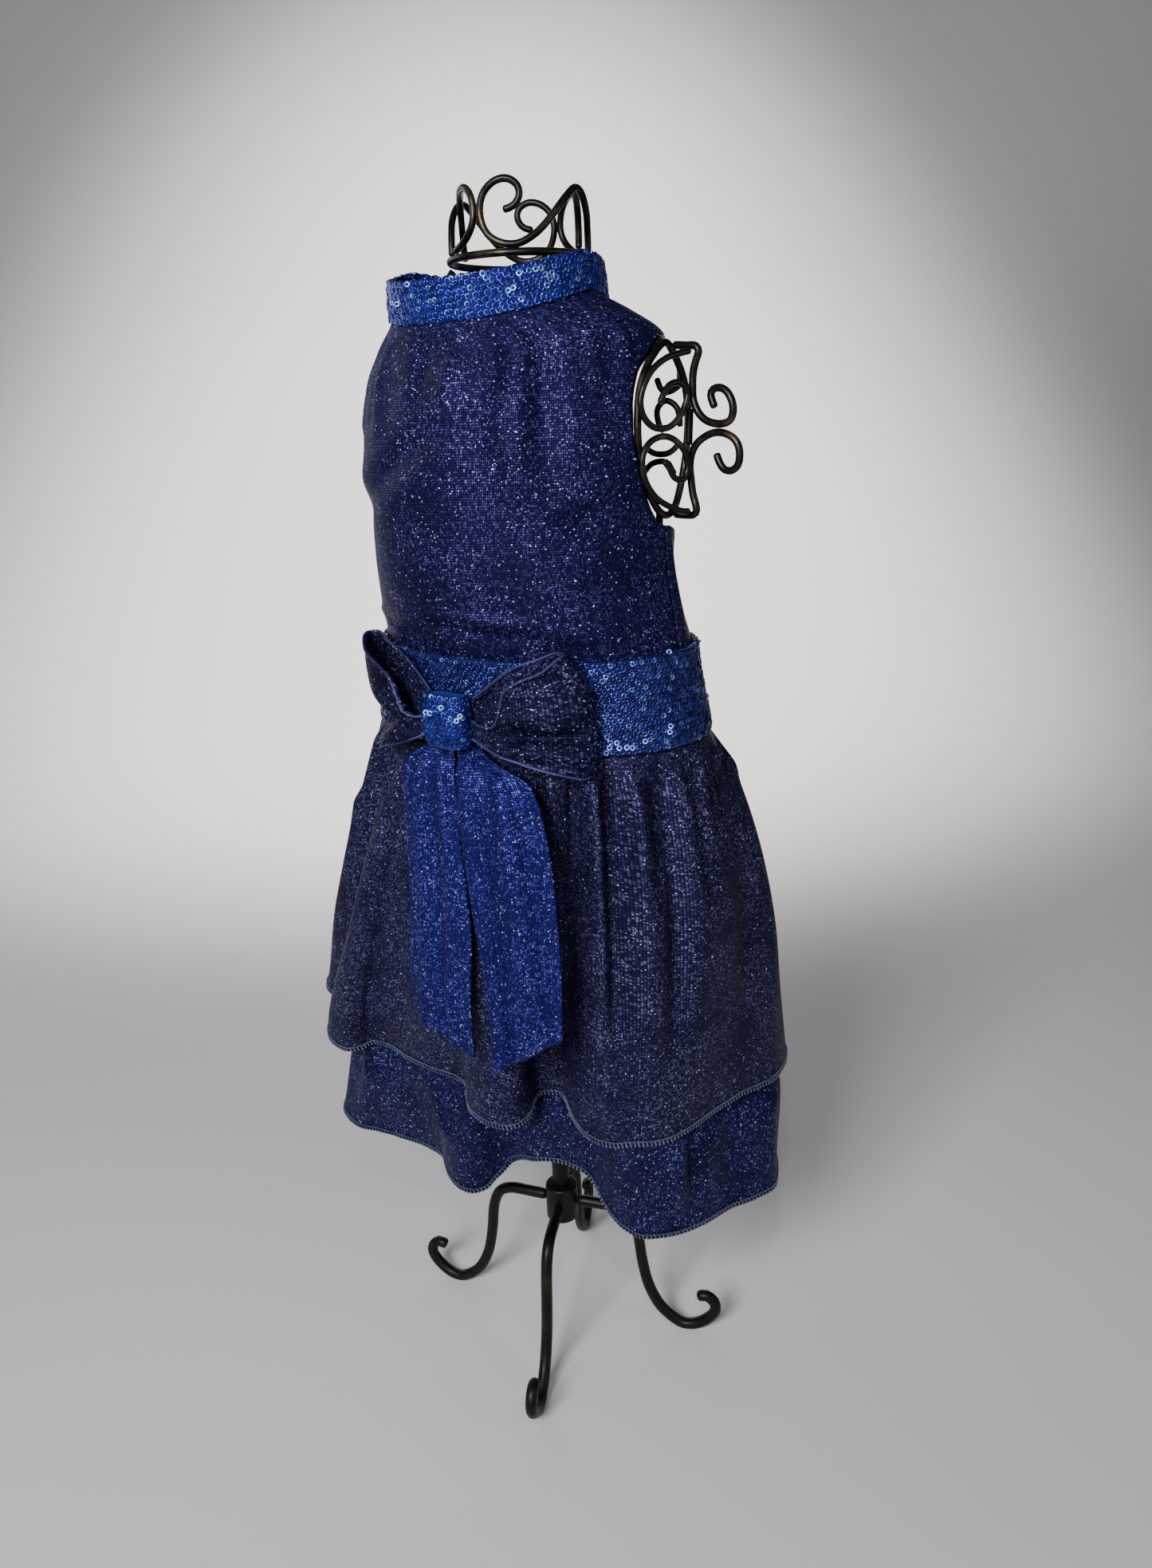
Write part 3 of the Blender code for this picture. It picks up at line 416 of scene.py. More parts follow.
def table_at(rows, key, period=None):
    """Row interpolated where its first column meets key, without overshoot; period closes the
    table."""
    if period:
        key = (key - rows[0][0]) % period + rows[0][0]
        table = [(row[0] + by, *row[1:]) for row, by in
                 ((rows[-1], -period), *((row, 0) for row in rows), (rows[0], period),
                  (rows[1], period))]
    else:
        table = [rows[0], *rows, rows[-1]]
    for index in range(1, len(table) - 2):
        if table[index][0] <= key <= table[index + 1][0]:
            break
    before, start, end, after = table[index - 1:index + 3]
    width = end[0] - start[0]
    share = (key - start[0]) / width
    result = []
    for i, (low, high) in enumerate(zip(start, end)):
        slopes = []
        for left, mid, right in ((before, start, end), (start, end, after)):
            rise_a = (mid[i] - left[i]) / ((mid[0] - left[0]) or 1.0)
            rise_b = (right[i] - mid[i]) / ((right[0] - mid[0]) or 1.0)
            steady = rise_a * rise_b > 0
            slopes.append(2 * rise_a * rise_b / (rise_a + rise_b) if steady else 0.0)
        a, b = slopes[0] * width, slopes[1] * width
        cube, square = share**3, share**2
        result.append((2 * cube - 3 * square + 1) * low + (cube - 2 * square + share) * a
                      + (3 * square - 2 * cube) * high + (cube - square) * b)
    return tuple(result)


def around(angle, half, front, back, middle=0.0):
    """Point of a garment section: one half-ellipse in front of its widest point, one behind."""
    turn = math.radians(angle)
    depth = front + middle if math.cos(turn) > 0 else back - middle
    return half * math.sin(turn), middle - depth * math.cos(turn)


def section_point(sections, level, angle, out=0.0):
    """Point at an angle round a garment whose sections are read at a level, 0 at the first."""
    front, side, back, half, fore, aft, middle = spline_at(sections, level)
    x, y = around(angle, half + out, fore + out, aft + out, middle)
    lean = math.cos(math.radians(angle))
    height = side + (front - side) * lean if lean > 0 else side - (back - side) * lean
    return Vector((x, y, height))


def level_at(side_height):
    """Where along BODICE_SECTIONS the side reaches a height."""
    low, high = 0.0, len(BODICE_SECTIONS) - 1.0
    for _ in range(30):
        middle = (low + high) / 2
        if spline_at(BODICE_SECTIONS, middle)[1] < side_height:
            low = middle
        else:
            high = middle
    return (low + high) / 2


def bodice_lines(finer):
    """Side heights and levels of a panel's rows, closest at the ends of the armhole."""
    marks = [440.0, 448.0, 460.0, 475.0, 490.0, ARMHOLE_BOTTOM, 506.5, 509.5, 515.0, 523.0, 535.0,
             550.0, 564.0, 575.0, 584.0, 589.0, ARMHOLE_TOP, 597.0, 603.5, NECK_SIDE]
    heights = []
    for low, high in zip(marks, marks[1:]):
        steps = max(2, round((high - low) / finer))
        heights += [low + (high - low) * k / steps for k in range(steps)]
    heights.append(marks[-1])
    return [(height, level_at(height)) for height in heights]


# Millimetres of cloth to a degree round the bodice, as the creases take it.
DEGREE_ROUND = 1.4


def crease_rise(creases, angle, height):
    """How far the listed creases lift the cloth at an angle and height, in millimetres."""
    total = 0.0
    for from_angle, from_height, to_angle, to_height, width, rise in creases:
        run = Vector(((to_angle - from_angle) * DEGREE_ROUND, to_height - from_height))
        at = Vector(((angle - from_angle) * DEGREE_ROUND, height - from_height))
        share = max(0.0, min(1.0, at.dot(run) / run.length_squared))
        away = (at - run * share).length
        if away < 3 * width:
            total += rise * math.exp(-((away / width) ** 2)) * (1 - 0.45 * abs(2 * share - 1))
    return total


def cloth(name, across, along, point_at, weave_at, wall, material, tube=False):
    """A cloth piece: a grid laid on point_at(column, row) in millimetres, with its weave in the
    UV map in millimetres of flat cloth, and then given its wall inwards."""
    net = bmesh.new()
    bmesh.ops.create_grid(net, x_segments=across, y_segments=along, size=0.5)
    weave = net.loops.layers.uv.new("weave")
    places = {}
    for vert in net.verts:
        column = round((vert.co.x + 0.5) * across)
        row = round((vert.co.y + 0.5) * along)
        places[vert.index] = (column, row)
    for face in net.faces:
        face.smooth = True
        for loop in face.loops:
            loop[weave].uv = weave_at(*places[loop.vert.index])
    for vert in net.verts:
        vert.co = (Vector(point_at(*places[vert.index])) + STAND_AXIS) * MM
    if tube:
        bmesh.ops.remove_doubles(net, verts=net.verts, dist=0.01 * MM)
    mesh = bpy.data.meshes.new(name)
    net.to_mesh(mesh)
    net.free()
    mesh.materials.append(material)
    made = in_scene(name, mesh)
    solid = made.modifiers.new("wall", "SOLIDIFY")
    solid.thickness = wall * MM
    solid.offset = -1.0
    solid.use_even_offset = True
    return made


# Width and height of a knitted stitch in millimetres, and the paler tone of a loose flake. The
# tone is partly the flakes' own colour and partly a painted glint that shows under any light.
WALE, COURSE = 0.95, 1.15
FLAKE = (0.56, 0.60, 1.0)


def glitter_finish(name, turned, ground, foil, flakes):
    """Glitter knit: rows of foil stitches on a dark ground, with loose flakes that each face their
    own way; the flakes' pale tone is partly their own colour and partly a painted glint. turned
    lays the rows across the piece; ground is the colour between the stitches and that of the
    dullest stitch; flakes is the share of cells with one."""
    material, tree, shader = new_finish(name)
    weave = add_node(tree, "UVMap", {}, uv_map="weave").outputs[0]
    place = add_node(tree, "TexCoord", {}).outputs["Object"]
    scale = (1 / COURSE, 1 / WALE, 1.0) if turned else (1 / WALE, 1 / COURSE, 1.0)
    stitches = add_node(tree, "Mapping", {"Vector": weave, "Scale": scale}).outputs[0]
    cells = add_node(tree, "TexVoronoi", {"Vector": stitches, "Scale": 1.0, "Randomness": 0.28},
                     voronoi_dimensions="2D")
    loop = calc(tree, "MULTIPLY_ADD", cells.outputs["Distance"], -3.4, 1.75)
    loop = calc(tree, "MINIMUM", calc(tree, "MAXIMUM", loop, 0.0), 1.0)
    parts = add_node(tree, "SeparateColor", {0: cells.outputs["Color"]})
    shine = calc(tree, "POWER", parts.outputs[0], 3.4)
    # Broad random patches where the stitches are darker and fewer of them shine: partly random
    # tone of the knit, partly painted sheen.
    drift = add_node(tree, "TexNoise", {"Vector": place, "Scale": 42.0, "Detail": 4.0})
    tide = calc(tree, "MULTIPLY_ADD", drift.outputs[0], 1.5, -0.18)
    thread = blend_colour(tree, calc(tree, "MULTIPLY", shine, tide), ground[1], foil)
    lit = calc(tree, "MINIMUM", calc(tree, "MULTIPLY_ADD", tide, 0.8, 0.5), 1.0)
    colour = blend_colour(tree, calc(tree, "MULTIPLY", loop, lit), ground[0], thread)
    masks, facing = [], None
    for size, reach, kept in ((1.7, 0.25, flakes * 0.35), (1.0, 0.34, flakes * 0.8)):
        specks = add_node(tree, "TexVoronoi", {"Vector": place, "Scale": 1 / (size * MM)})
        tones = add_node(tree, "SeparateColor", {0: specks.outputs["Color"]})
        near = calc(tree, "LESS_THAN", specks.outputs["Distance"], reach)
        chosen = calc(tree, "LESS_THAN", tones.outputs[1], kept)
        glow = calc(tree, "MULTIPLY_ADD", tones.outputs[2], 0.85, 0.15)
        masks.append(calc(tree, "MULTIPLY", calc(tree, "MULTIPLY", near, chosen), glow))
        facing = facing or specks.outputs["Color"]
    speck = calc(tree, "MAXIMUM", *masks)
    metal = calc(tree, "MULTIPLY_ADD", speck, -0.35, 0.72)
    metal = calc(tree, "MULTIPLY", calc(tree, "MAXIMUM", loop, speck), metal)
    bump = add_node(tree, "Bump", {"Height": loop, "Strength": 0.6, "Distance": 0.2 * MM})
    tilt = add_node(tree, "VectorMath", {0: facing, 1: (0.5, 0.5, 0.5)}, operation="SUBTRACT")
    amount = calc(tree, "MULTIPLY_ADD", speck, 0.5, 0.10)
    lean = add_node(tree, "VectorMath", {0: tilt.outputs[0], 3: amount}, operation="SCALE")
    leaned = add_node(tree, "VectorMath", {0: bump.outputs[0], 1: lean.outputs[0]},
                      operation="ADD")
    normal = add_node(tree, "VectorMath", {0: leaned.outputs[0]}, operation="NORMALIZE")
    feed(tree, shader, {"Base Color": blend_colour(tree, speck, colour, FLAKE), "Metallic": metal,
                        "Roughness": calc(tree, "MULTIPLY_ADD", speck, -0.28, 0.5),
                        "Specular IOR Level": 0.05, "Normal": normal.outputs[0]})
    return material


# The same knit is made once for each piece. Each copy has its ground, foil and flake share set to
# how brightly that piece is lit, so the differences between the copies are painted light and
# shade. This is the bodice's copy.
BODICE_GROUND = (0.0020, 0.0017, 0.013), (0.0078, 0.0066, 0.058)
BODICE_KNIT = glitter_finish("bodice glitter knit", False, BODICE_GROUND, (0.16, 0.138, 0.49),
                             0.090)


def front_edge(height, level):
    """Angle where the front panel ends, at the seam or the armhole."""
    if ARMHOLE_BOTTOM < height < ARMHOLE_TOP:
        y = table_at(ARMHOLE_FRONT, height)[1]
        row = spline_at(BODICE_SECTIONS, level)
        share = max(-1.0, min(1.0, (row[6] - y) / (row[4] + row[6])))
        return min(90.0 - SEAM_ANGLE, math.degrees(math.acos(share)))
    return 90.0 - SEAM_ANGLE


FRONT_LINES = bodice_lines(1.7)
FRONT_EDGES = [front_edge(height, level) for height, level in FRONT_LINES]
FRONT_COLUMNS = 130


def bodice_panel(name, columns, lines, angle_at, creases, degree_wide):
    """A panel over its lines, its creases fading at its sides and below the collar."""
    def point(column, row):
        height, level = lines[row]
        angle = angle_at(column, row)
        margin = min(1.0, (1 - abs(2 * column / columns - 1)) * 9, (NECK_SIDE - height) / 7)
        rise = crease_rise(creases, angle, height) * max(0.0, margin)
        return section_point(BODICE_SECTIONS, level, angle, rise)

    def weave(column, row):
        return angle_at(column, row) * degree_wide, lines[row][0]

    return cloth(name, columns, len(lines) - 1, point, weave, KNIT_WALL, BODICE_KNIT)


front_panel = bodice_panel(
    "bodice_front_knit", FRONT_COLUMNS, FRONT_LINES,
    lambda column, row: FRONT_EDGES[row] * (2 * column / FRONT_COLUMNS - 1), FRONT_CREASES, 1.42)
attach(front_panel, "root")
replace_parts(front_panel, "bodice_front")

# The bodice back: the belly panel, in the same knit. It joins the front at the sides below the
# armholes, runs up narrow between the dog's front legs, and spreads again to meet it over the
# shoulders.

ARMHOLE_BACK = [
    # height, X where the belly panel ends
    (505, 89), (506.5, 74), (509.5, 56), (516, 43), (530, 38), (558, 38), (574, 43), (584, 56),
    (589, 69), (591, 80.5),
]
BACK_CREASES = [
    # angle height angle height width rise
    (150, 470, 168, 560, 6, 1.2), (196, 466, 190, 548, 6, 1.3), (180, 588, 178, 540, 5, -1.2),
    (166, 596, 164, 560, 4, 1.3), (205, 596, 202, 566, 4, 1.1), (110, 502, 140, 486, 6, 1.3),
    (250, 502, 222, 484, 6, 1.3), (98, 494, 100, 455, 5, 1.1), (262, 490, 258, 452, 5, 1.2),
    (120, 466, 150, 460, 3.2, 1.3), (170, 460, 204, 463, 3, 1.2), (215, 458, 244, 462, 3, -1.1),
    (118, 458, 140, 454, 2.8, -1.1),
]


def back_edge(height, level):
    """Angle where the belly panel ends, at the seam or the armhole."""
    if ARMHOLE_BOTTOM < height < ARMHOLE_TOP:
        x = table_at(ARMHOLE_BACK, height)[1]
        row = spline_at(BODICE_SECTIONS, level)
        share = max(-1.0, min(1.0, x / row[3]))
        return max(90.0 + SEAM_ANGLE, 180.0 - math.degrees(math.asin(share)))
    return 90.0 + SEAM_ANGLE


BACK_LINES = bodice_lines(2.0)
BACK_EDGES = [back_edge(height, level) for height, level in BACK_LINES]
BACK_COLUMNS = 100
back_panel = bodice_panel(
    "bodice_back_knit", BACK_COLUMNS, BACK_LINES,
    lambda column, row: BACK_EDGES[row] + 2 * (180.0 - BACK_EDGES[row]) * column / BACK_COLUMNS,
    BACK_CREASES, 1.25)
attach(back_panel, "root")
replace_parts(back_panel, "bodice_back")

# The collar: a band of royal-blue sequin cloth folded over the neck edge. Its ground is a dark
# blue net, and 3 mm cup sequins are stitched on it in rows, overlapping and a little uneven,
# over the top fold and down the inside too.

COLLAR_SECTIONS = [
    # front  side   back   half   front  back  middle
    (597.8, 610.7, 604.0, 55.2, 66.4, 29.6, -18.7),
    (606.4, 618.0, 612.4, 54.6, 66.6, 29.0, -19.4),
    (615.2, 625.8, 621.0, 53.6, 66.4, 28.2, -20.2),
]
SEQUIN_ACROSS, SEQUIN_HOLE, SEQUIN_CUP, SEQUIN_FILM = 3.0, 1.1, 0.28, 0.14


def own_tones(tree):
    """The two random tones that each sequin or stitch has in its UV map."""
    tone_map = add_node(tree, "UVMap", {}, uv_map="tone")
    return add_node(tree, "SeparateXYZ", {0: tone_map.outputs[0]}).outputs


def sequin_finish(name, dull, bright, flash):
    """Blue metallised film, each sequin with its own tone between dull and bright; the few sequins
    whose first tone is near one take the flash colour, a painted highlight.
    """
    material, tree, shader = new_finish(name)
    tones = own_tones(tree)
    # The flash colour on these few sequins is a painted highlight.
    pale = calc(tree, "POWER", tones[0], 16.0)
    colour = blend_colour(tree, pale, blend_colour(tree, tones[1], dull, bright), flash)
    feed(tree, shader, {"Base Color": colour, "Metallic": 0.85, "Coat Weight": 0.3,
                        "Roughness": calc(tree, "MULTIPLY_ADD", tones[1], 0.14, 0.16),
                        "Coat Roughness": 0.08})
    return material


def net_finish(name, dark, light):
    """The blue net that the sequins are sewn on."""
    material, tree, shader = new_finish(name)
    weave = add_node(tree, "UVMap", {}, uv_map="weave").outputs[0]
    holes = add_node(tree, "TexVoronoi", {"Vector": weave, "Scale": 1.3, "Randomness": 0.3},
                     voronoi_dimensions="2D").outputs["Distance"]
    share = calc(tree, "MULTIPLY_ADD", holes, 1.6, -0.1)
    bump = add_node(tree, "Bump", {"Height": holes, "Strength": 0.6, "Distance": 0.2 * MM})
    feed(tree, shader, {"Base Color": blend_colour(tree, share, dark, light), "Roughness": 0.7,
                        "Specular IOR Level": 0.1, "Normal": bump.outputs[0]})
    return material


# Collar and knot sequins: dull and bright tones of the film, then the flash colour, a painted
# highlight.
SEQUIN = sequin_finish("royal blue sequins", (0.0095, 0.0105, 0.165), (0.031, 0.042, 0.44),
                       (0.30, 0.50, 1.0))
NET = net_finish("collar net", (0.005, 0.008, 0.070), (0.012, 0.022, 0.18))


def sequin_shape():
    """One cup sequin: a ring of film with its rim raised."""
    net = bmesh.new()
    bmesh.ops.create_circle(net, cap_ends=False, segments=7, radius=SEQUIN_ACROSS / 2)
    sides = bmesh.ops.extrude_edge_only(net, edges=net.edges[:])
    hole = [item for item in sides["geom"] if isinstance(item, bmesh.types.BMVert)]
    bmesh.ops.scale(net, verts=hole, vec=(SEQUIN_HOLE / SEQUIN_ACROSS,) * 2 + (1.0,))
    bmesh.ops.translate(net, verts=hole, vec=(0, 0, -SEQUIN_CUP))
    bmesh.ops.recalc_face_normals(net, faces=net.faces)
    if net.faces[0].normal.z < 0:
        bmesh.ops.reverse_faces(net, faces=net.faces)
    bmesh.ops.solidify(net, geom=net.faces[:], thickness=SEQUIN_FILM)
    bmesh.ops.recalc_face_normals(net, faces=net.faces)
    mesh = bpy.data.meshes.new("sequin")
    net.to_mesh(mesh)
    net.free()
    return mesh


def repeated(name, shape, frames, material, seed, painted_flashes=()):
    """One mesh with a copy of shape in every frame, in millimetres, each with two random tones, or
    with both tones at one where its number is in painted_flashes, which gives a sequin the flash
    colour, a painted highlight."""
    corners = np.array([v.co for v in shape.vertices])
    frames = np.array(frames)
    points = np.einsum("nij,vj->nvi", frames[:, :3, :3], corners) + frames[:, None, :3, 3]
    points = (points.reshape(-1, 3) + np.array(STAND_AXIS)) * MM
    sides = [list(p.vertices) for p in shape.polygons]
    count = len(corners)
    faces = [[k * count + i for i in side] for k in range(len(frames)) for side in sides]
    mesh = bpy.data.meshes.new(name)
    mesh.from_pydata(points.tolist(), [], faces)
    tones = np.random.default_rng(seed).random((len(frames), 2))
    # Tones of one give these sequins the flash colour: a painted highlight.
    tones[list(painted_flashes)] = 1.0
    loops = sum(len(side) for side in sides)
    layer = mesh.uv_layers.new(name="tone")
    layer.uv.foreach_set("vector", np.repeat(tones, loops, axis=0).astype(np.float32).ravel())
    mesh.shade_smooth()
    mesh.materials.append(material)
    return in_scene(name, mesh)


def sewn_frame(chance, point, out, up, lift, lean):
    """A frame for one sequin: its cup along out, tipped at random by about lean degrees."""
    across = up.cross(out).normalized()
    up = out.cross(across).normalized()
    turn = Matrix((across, up, out)).transposed()
    tip = lean * (4.0 if chance.random() < 0.05 else 1.0)
    sway = [math.radians(6.0 + chance.gauss(0, tip)), math.radians(chance.gauss(0, tip))]
    spin = chance.uniform(0, math.tau)
    turn = turn @ Matrix.Rotation(sway[0], 3, "X") @ Matrix.Rotation(sway[1], 3, "Y")
    made = (turn @ Matrix.Rotation(spin, 3, "Z")).to_4x4()
    made.translation = point + out * (lift + chance.uniform(0.0, 0.3))
    return made


def sequins_over(chance, point_at, around_mm, along_mm, step, row_step, lean=4.5, lift=0.45):
    """Frames in staggered rows over point_at(share round, share up), each nudged a little."""
    frames = []
    rows = max(1, round(along_mm / row_step))
    for row in range(rows):
        columns = round(around_mm / step)
        for column in range(columns):
            s = (column + 0.5 * (row % 2) + chance.uniform(-0.2, 0.2)) / columns % 1.0
            t = (row + 0.5 + chance.uniform(-0.22, 0.22)) / rows
            point = point_at(s, t)
            sideways = point_at((s + 0.002) % 1.0, t) - point
            upwards = point_at(s, min(1.0, t + 0.02)) - point_at(s, max(0.0, t - 0.02))
            out = sideways.cross(upwards).normalized()
            frames.append(sewn_frame(chance, point, out, upwards.normalized(), lift, lean))
    return frames


def turned_to_light(frames, places):
    """Turn the sequins nearest to each place (x, y, z, how many) so that they mirror the key
    light, and return their numbers; repeated gives these sequins the flash colour, a painted
    highlight."""
    picked = []
    across = Vector((0.87, 0.49, 0.0))
    out = Vector((0.46, -0.83, 0.32)).normalized()
    turn = Matrix((across, out.cross(across), out)).transposed()
    for x, y, z, number in places:
        spot = Vector((x, y, z))
        order = sorted(range(len(frames)), key=lambda k: (frames[k].translation - spot).length)
        for k in order[:number]:
            point = frames[k].translation + (frames[k].to_3x3() @ Vector((0, 0, 1))) * 0.5
            frames[k] = turn.to_4x4()
            frames[k].translation = point
            picked.append(k)
    return picked


COLLAR_COLUMNS, COLLAR_ROWS = 200, 14
COLLAR_WALL = 1.6


def collar_point(column, row):
    level = 2.0 * row / COLLAR_ROWS
    return section_point(COLLAR_SECTIONS, level, 360.0 * column / COLLAR_COLUMNS)


collar = cloth("collar_band", COLLAR_COLUMNS, COLLAR_ROWS, collar_point,
               lambda column, row: (column * 1.5, row * 1.3), COLLAR_WALL, NET, tube=True)
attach(collar, "root")
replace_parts(collar, "collar")

chance = random.Random(11)


def collar_outside(s, t):
    return section_point(COLLAR_SECTIONS, 2.0 * t, 360.0 * s)


def collar_inside(s, t):
    return section_point(COLLAR_SECTIONS, 2.0 - 0.9 * t, 360.0 * s, -COLLAR_WALL)


def collar_fold(s, t):
    point = section_point(COLLAR_SECTIONS, 2.0, 360.0 * s, -0.2 - 1.2 * t)
    return point + Vector((0, 0, 0.35 * math.sin(math.pi * t)))


sewn = sequins_over(chance, collar_outside, 315.0, 17.2, 2.75, 2.4, lean=3.5)
sewn += sequins_over(chance, collar_inside, 305.0, 8.0, 2.75, 2.5)
sewn += sequins_over(chance, collar_fold, 310.0, 1.5, 2.6, 1.5, lift=0.2)
SEQUIN_SHAPE = sequin_shape()
# Painted highlights: the sequins at these points are turned to mirror the key light and take the
# flash colour.
shining = turned_to_light(sewn, [(-11.8, -65.2, 614.7, 1), (37.8, -53.3, 608.9, 2),
                                 (-22.0, -63.0, 606.0, 1)])
collar_sequins = repeated("collar_sequins", SEQUIN_SHAPE, sewn, SEQUIN, 3, shining)
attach(collar_sequins, "root")

# The upper skirt tier: a wide strip of the knit with its rows laid round the body, gathered to
# the waist. It falls in deep round folds, and its hem is overlocked in steel-blue thread: whip
# stitches over the edge and a chain above them.

BELT_BOTTOM, BELT_TOP = 401.0, 446.0
BELT_SECTIONS = [
    # height half  front  back
    (401.0, 100.0, 71.0, 67.0),
    (423.0, 96.2, 69.6, 63.8),
    (446.0, 93.2, 69.0, 61.0),
]
# Where a line of the cloth leaves the waist seam and where it meets the hem. The hem doubles
# back under the deepest folds, so its angles don't always rise.
UPPER_HEM = [
    # waist angle, hem angle, radius, height
    (-86, -87, 157, 214), (-74, -80, 160, 212), (-64, -76, 162, 211), (-56, -73, 158, 209),
    (-51, -71, 149, 207), (-47, -70, 139, 203), (-43.5, -68.5, 143, 197), (-40, -66, 148, 193.5),
    (-36.5, -61.5, 143, 190.5), (-33.5, -58, 131, 188.5), (-31, -58.5, 121, 189),
    (-28.5, -61, 113, 190.5), (-25.5, -59, 102, 190), (-22, -52, 88, 188.5), (-18, -43, 74, 188),
    (-14, -32, 62, 188), (-10, -23, 59, 187.5), (-6, -15, 63, 186), (-2, -7, 69, 186),
    (4, 1, 73, 186.5), (10, 9, 75, 186), (17, 16, 75, 186), (22, 22, 71, 186.5),
    (25.5, 25, 63, 187.5), (28, 24.5, 54, 189), (31, 26, 46, 190), (35, 31, 44, 190.5),
    (40, 38, 44, 190.5), (44, 43, 46, 190), (47, 45.5, 53, 189), (49.5, 46.8, 64, 187),
    (52, 49, 76, 186), (55, 53, 87, 185.5), (59, 58, 94, 185.5), (64, 63.5, 98, 186),
    (70, 69, 103, 186), (76, 75, 106.5, 187), (88, 88, 108, 188), (101, 101, 116, 190),
    (113, 113, 133, 191), (124, 124, 138, 192), (134, 135, 121, 191), (145, 144, 108, 190),
    (156, 155, 86, 189), (167, 168, 97, 190), (178, 177, 85, 188), (190, 191, 99, 189),
    (201, 200, 85, 188), (213, 214, 108, 191), (224, 223, 99, 192), (235, 236, 128, 196),
    (245, 244.5, 121, 202), (256, 256, 142, 210), (265, 264.5, 137, 214),
]
# Folds of the upper tier: angle at the waist seam where it starts and ends, the share of the
# drop at both ends, then width and rise in millimetres.
UPPER_FOLDS = [
    (-28.5, -28.5, 0.02, 0.95, 4.6, -11), (-22.3, -21.8, 0.03, 0.97, 3.2, -9),
    (-18.4, -18, 0.03, 0.95, 3.4, 5), (-14.3, -13.8, 0.04, 0.92, 3.4, -7),
    (-38, -38.5, 0.03, 0.97, 6.5, -5), (-47, -47, 0.02, 0.97, 5, -13),
    (-57, -58, 0.2, 0.99, 6.5, 4), (-67, -68, 0.03, 0.95, 4.8, -6), (30, 31, 0.02, 0.6, 5, -3),
    (41, 42, 0.02, 0.85, 4, 3.5), (50.5, 51.5, 0.02, 0.97, 3.6, -7.5),
    (55, 55.5, 0.02, 0.97, 3.6, 6), (59.5, 59.5, 0.02, 0.9, 4, -8.5),
    (63.5, 62.5, 0.02, 0.35, 2.2, -3), (66.5, 66, 0.03, 0.98, 7, 6),
    (70.5, 69.5, 0.02, 0.4, 2.6, -3.5), (75.5, 75, 0.02, 0.9, 4.6, -7),
    (81, 80, 0.03, 0.7, 5.5, 2), (86.5, 84.5, 0.02, 0.4, 3.2, -3.5),
    (92, 92, 0.02, 0.36, 3.5, -3.5), (101, 102, 0.04, 0.9, 9, -4.5), (113, 115, 0.05, 0.9, 7, 3),
    (124, 126, 0.02, 0.5, 4, -3), (133, 137, 0.03, 0.85, 5, -4.5), (143, 145, 0.02, 0.6, 4.5, 3.4),
    (156, 156, 0.02, 0.85, 4.5, -6), (166, 167, 0.03, 0.6, 5, 3), (178, 178, 0.02, 0.75, 4.5, -5),
    (189, 190, 0.02, 0.55, 5, 3), (200, 201, 0.03, 0.88, 4.5, -5.5), (212, 213, 0.02, 0.45, 5, 3),
    (223, 224, 0.02, 0.7, 4.5, -4.5), (234, 235, 0.03, 0.65, 6, 2.6),
    (246, 245, 0.02, 0.8, 5, -4.5), (256, 256, 0.04, 0.7, 6, 2.4),
]
TIER_HALF, TIER_DEPTH = 137.0, 86.0
# How quickly the tiers round out below the waist: they hang straighter at the left.
FLARES = [(-90, 1.9), (-75, 0.95), (-56, 0.9), (-42, 1.02), (-28, 2.1), (-16, 2.8), (60, 2.8),
          (72, 3.2), (120, 3.2), (150, 2.8), (240, 2.6)]
WAIST_HEIGHT = 400.4
AROUND = 480
# Rows of the tiers lie closer together near the waist, by this power.
ROW_POWER = 1.15
HEM_STEPS = 2880


def hem_at(turns, angles):
    """Turn from the waist angle, radius and height of the hem at waist angles."""
    return np.array([table_at(turns, angle, period=360.0)[1:] for angle in angles])


def oval_radius(angle, half, depth):
    """Radius of an ellipse at an angle."""
    turn = math.radians(angle)
    return 1.0 / math.hypot(math.sin(turn) / half, math.cos(turn) / depth)


def waist_radius(angle, inset):
    """Radius of a tier at the waist seam, inset from the belt's outside."""
    turn = math.radians(angle)
    _, half, front, back = BELT_SECTIONS[0]
    return oval_radius(angle, half - inset, (front if math.cos(turn) > 0 else back) - inset)


def fold_rise(folds, angles, drops, radius):
    """What the listed folds add to a tier's radius, for columns of drops."""
    total = np.zeros_like(radius)
    for top, bottom, start, end, width, rise in folds:
        share = np.clip((drops - start) / (end - start), 0, 1)
        away = (angles[None, :] - (top + (bottom - top) * share) + 180) % 360 - 180
        away = np.radians(away) * np.minimum(radius, 105.0)
        fade = np.clip((drops - start) / 0.07, 0, 1)
        fade = fade * np.clip((end - drops) / (end - start) * 2.2, 0, 1)
        swell = np.exp(-((away / (width * (1 + 0.6 * share))) ** 2))
        total += rise * fade * fade * (3 - 2 * fade) * swell
    return total


def gather_folds(seed, count, low, high, calm=()):
    """Small uneven puckers at the waist seam, flatter between the angles in calm."""
    chance = random.Random(seed)
    folds = []
    for k in range(count):
        at = (k + chance.uniform(-0.3, 0.3)) * 360.0 / count
        rise = chance.uniform(low, high) * (1 if k % 2 else -1)
        turned = (at + 180) % 360 - 180
        if calm and calm[0] < turned < calm[1]:
            rise *= 0.35
        folds.append((at, at + chance.uniform(-1.5, 1.5), 0.0, chance.uniform(0.12, 0.42),
                      chance.uniform(1.7, 2.8), rise))
    return folds


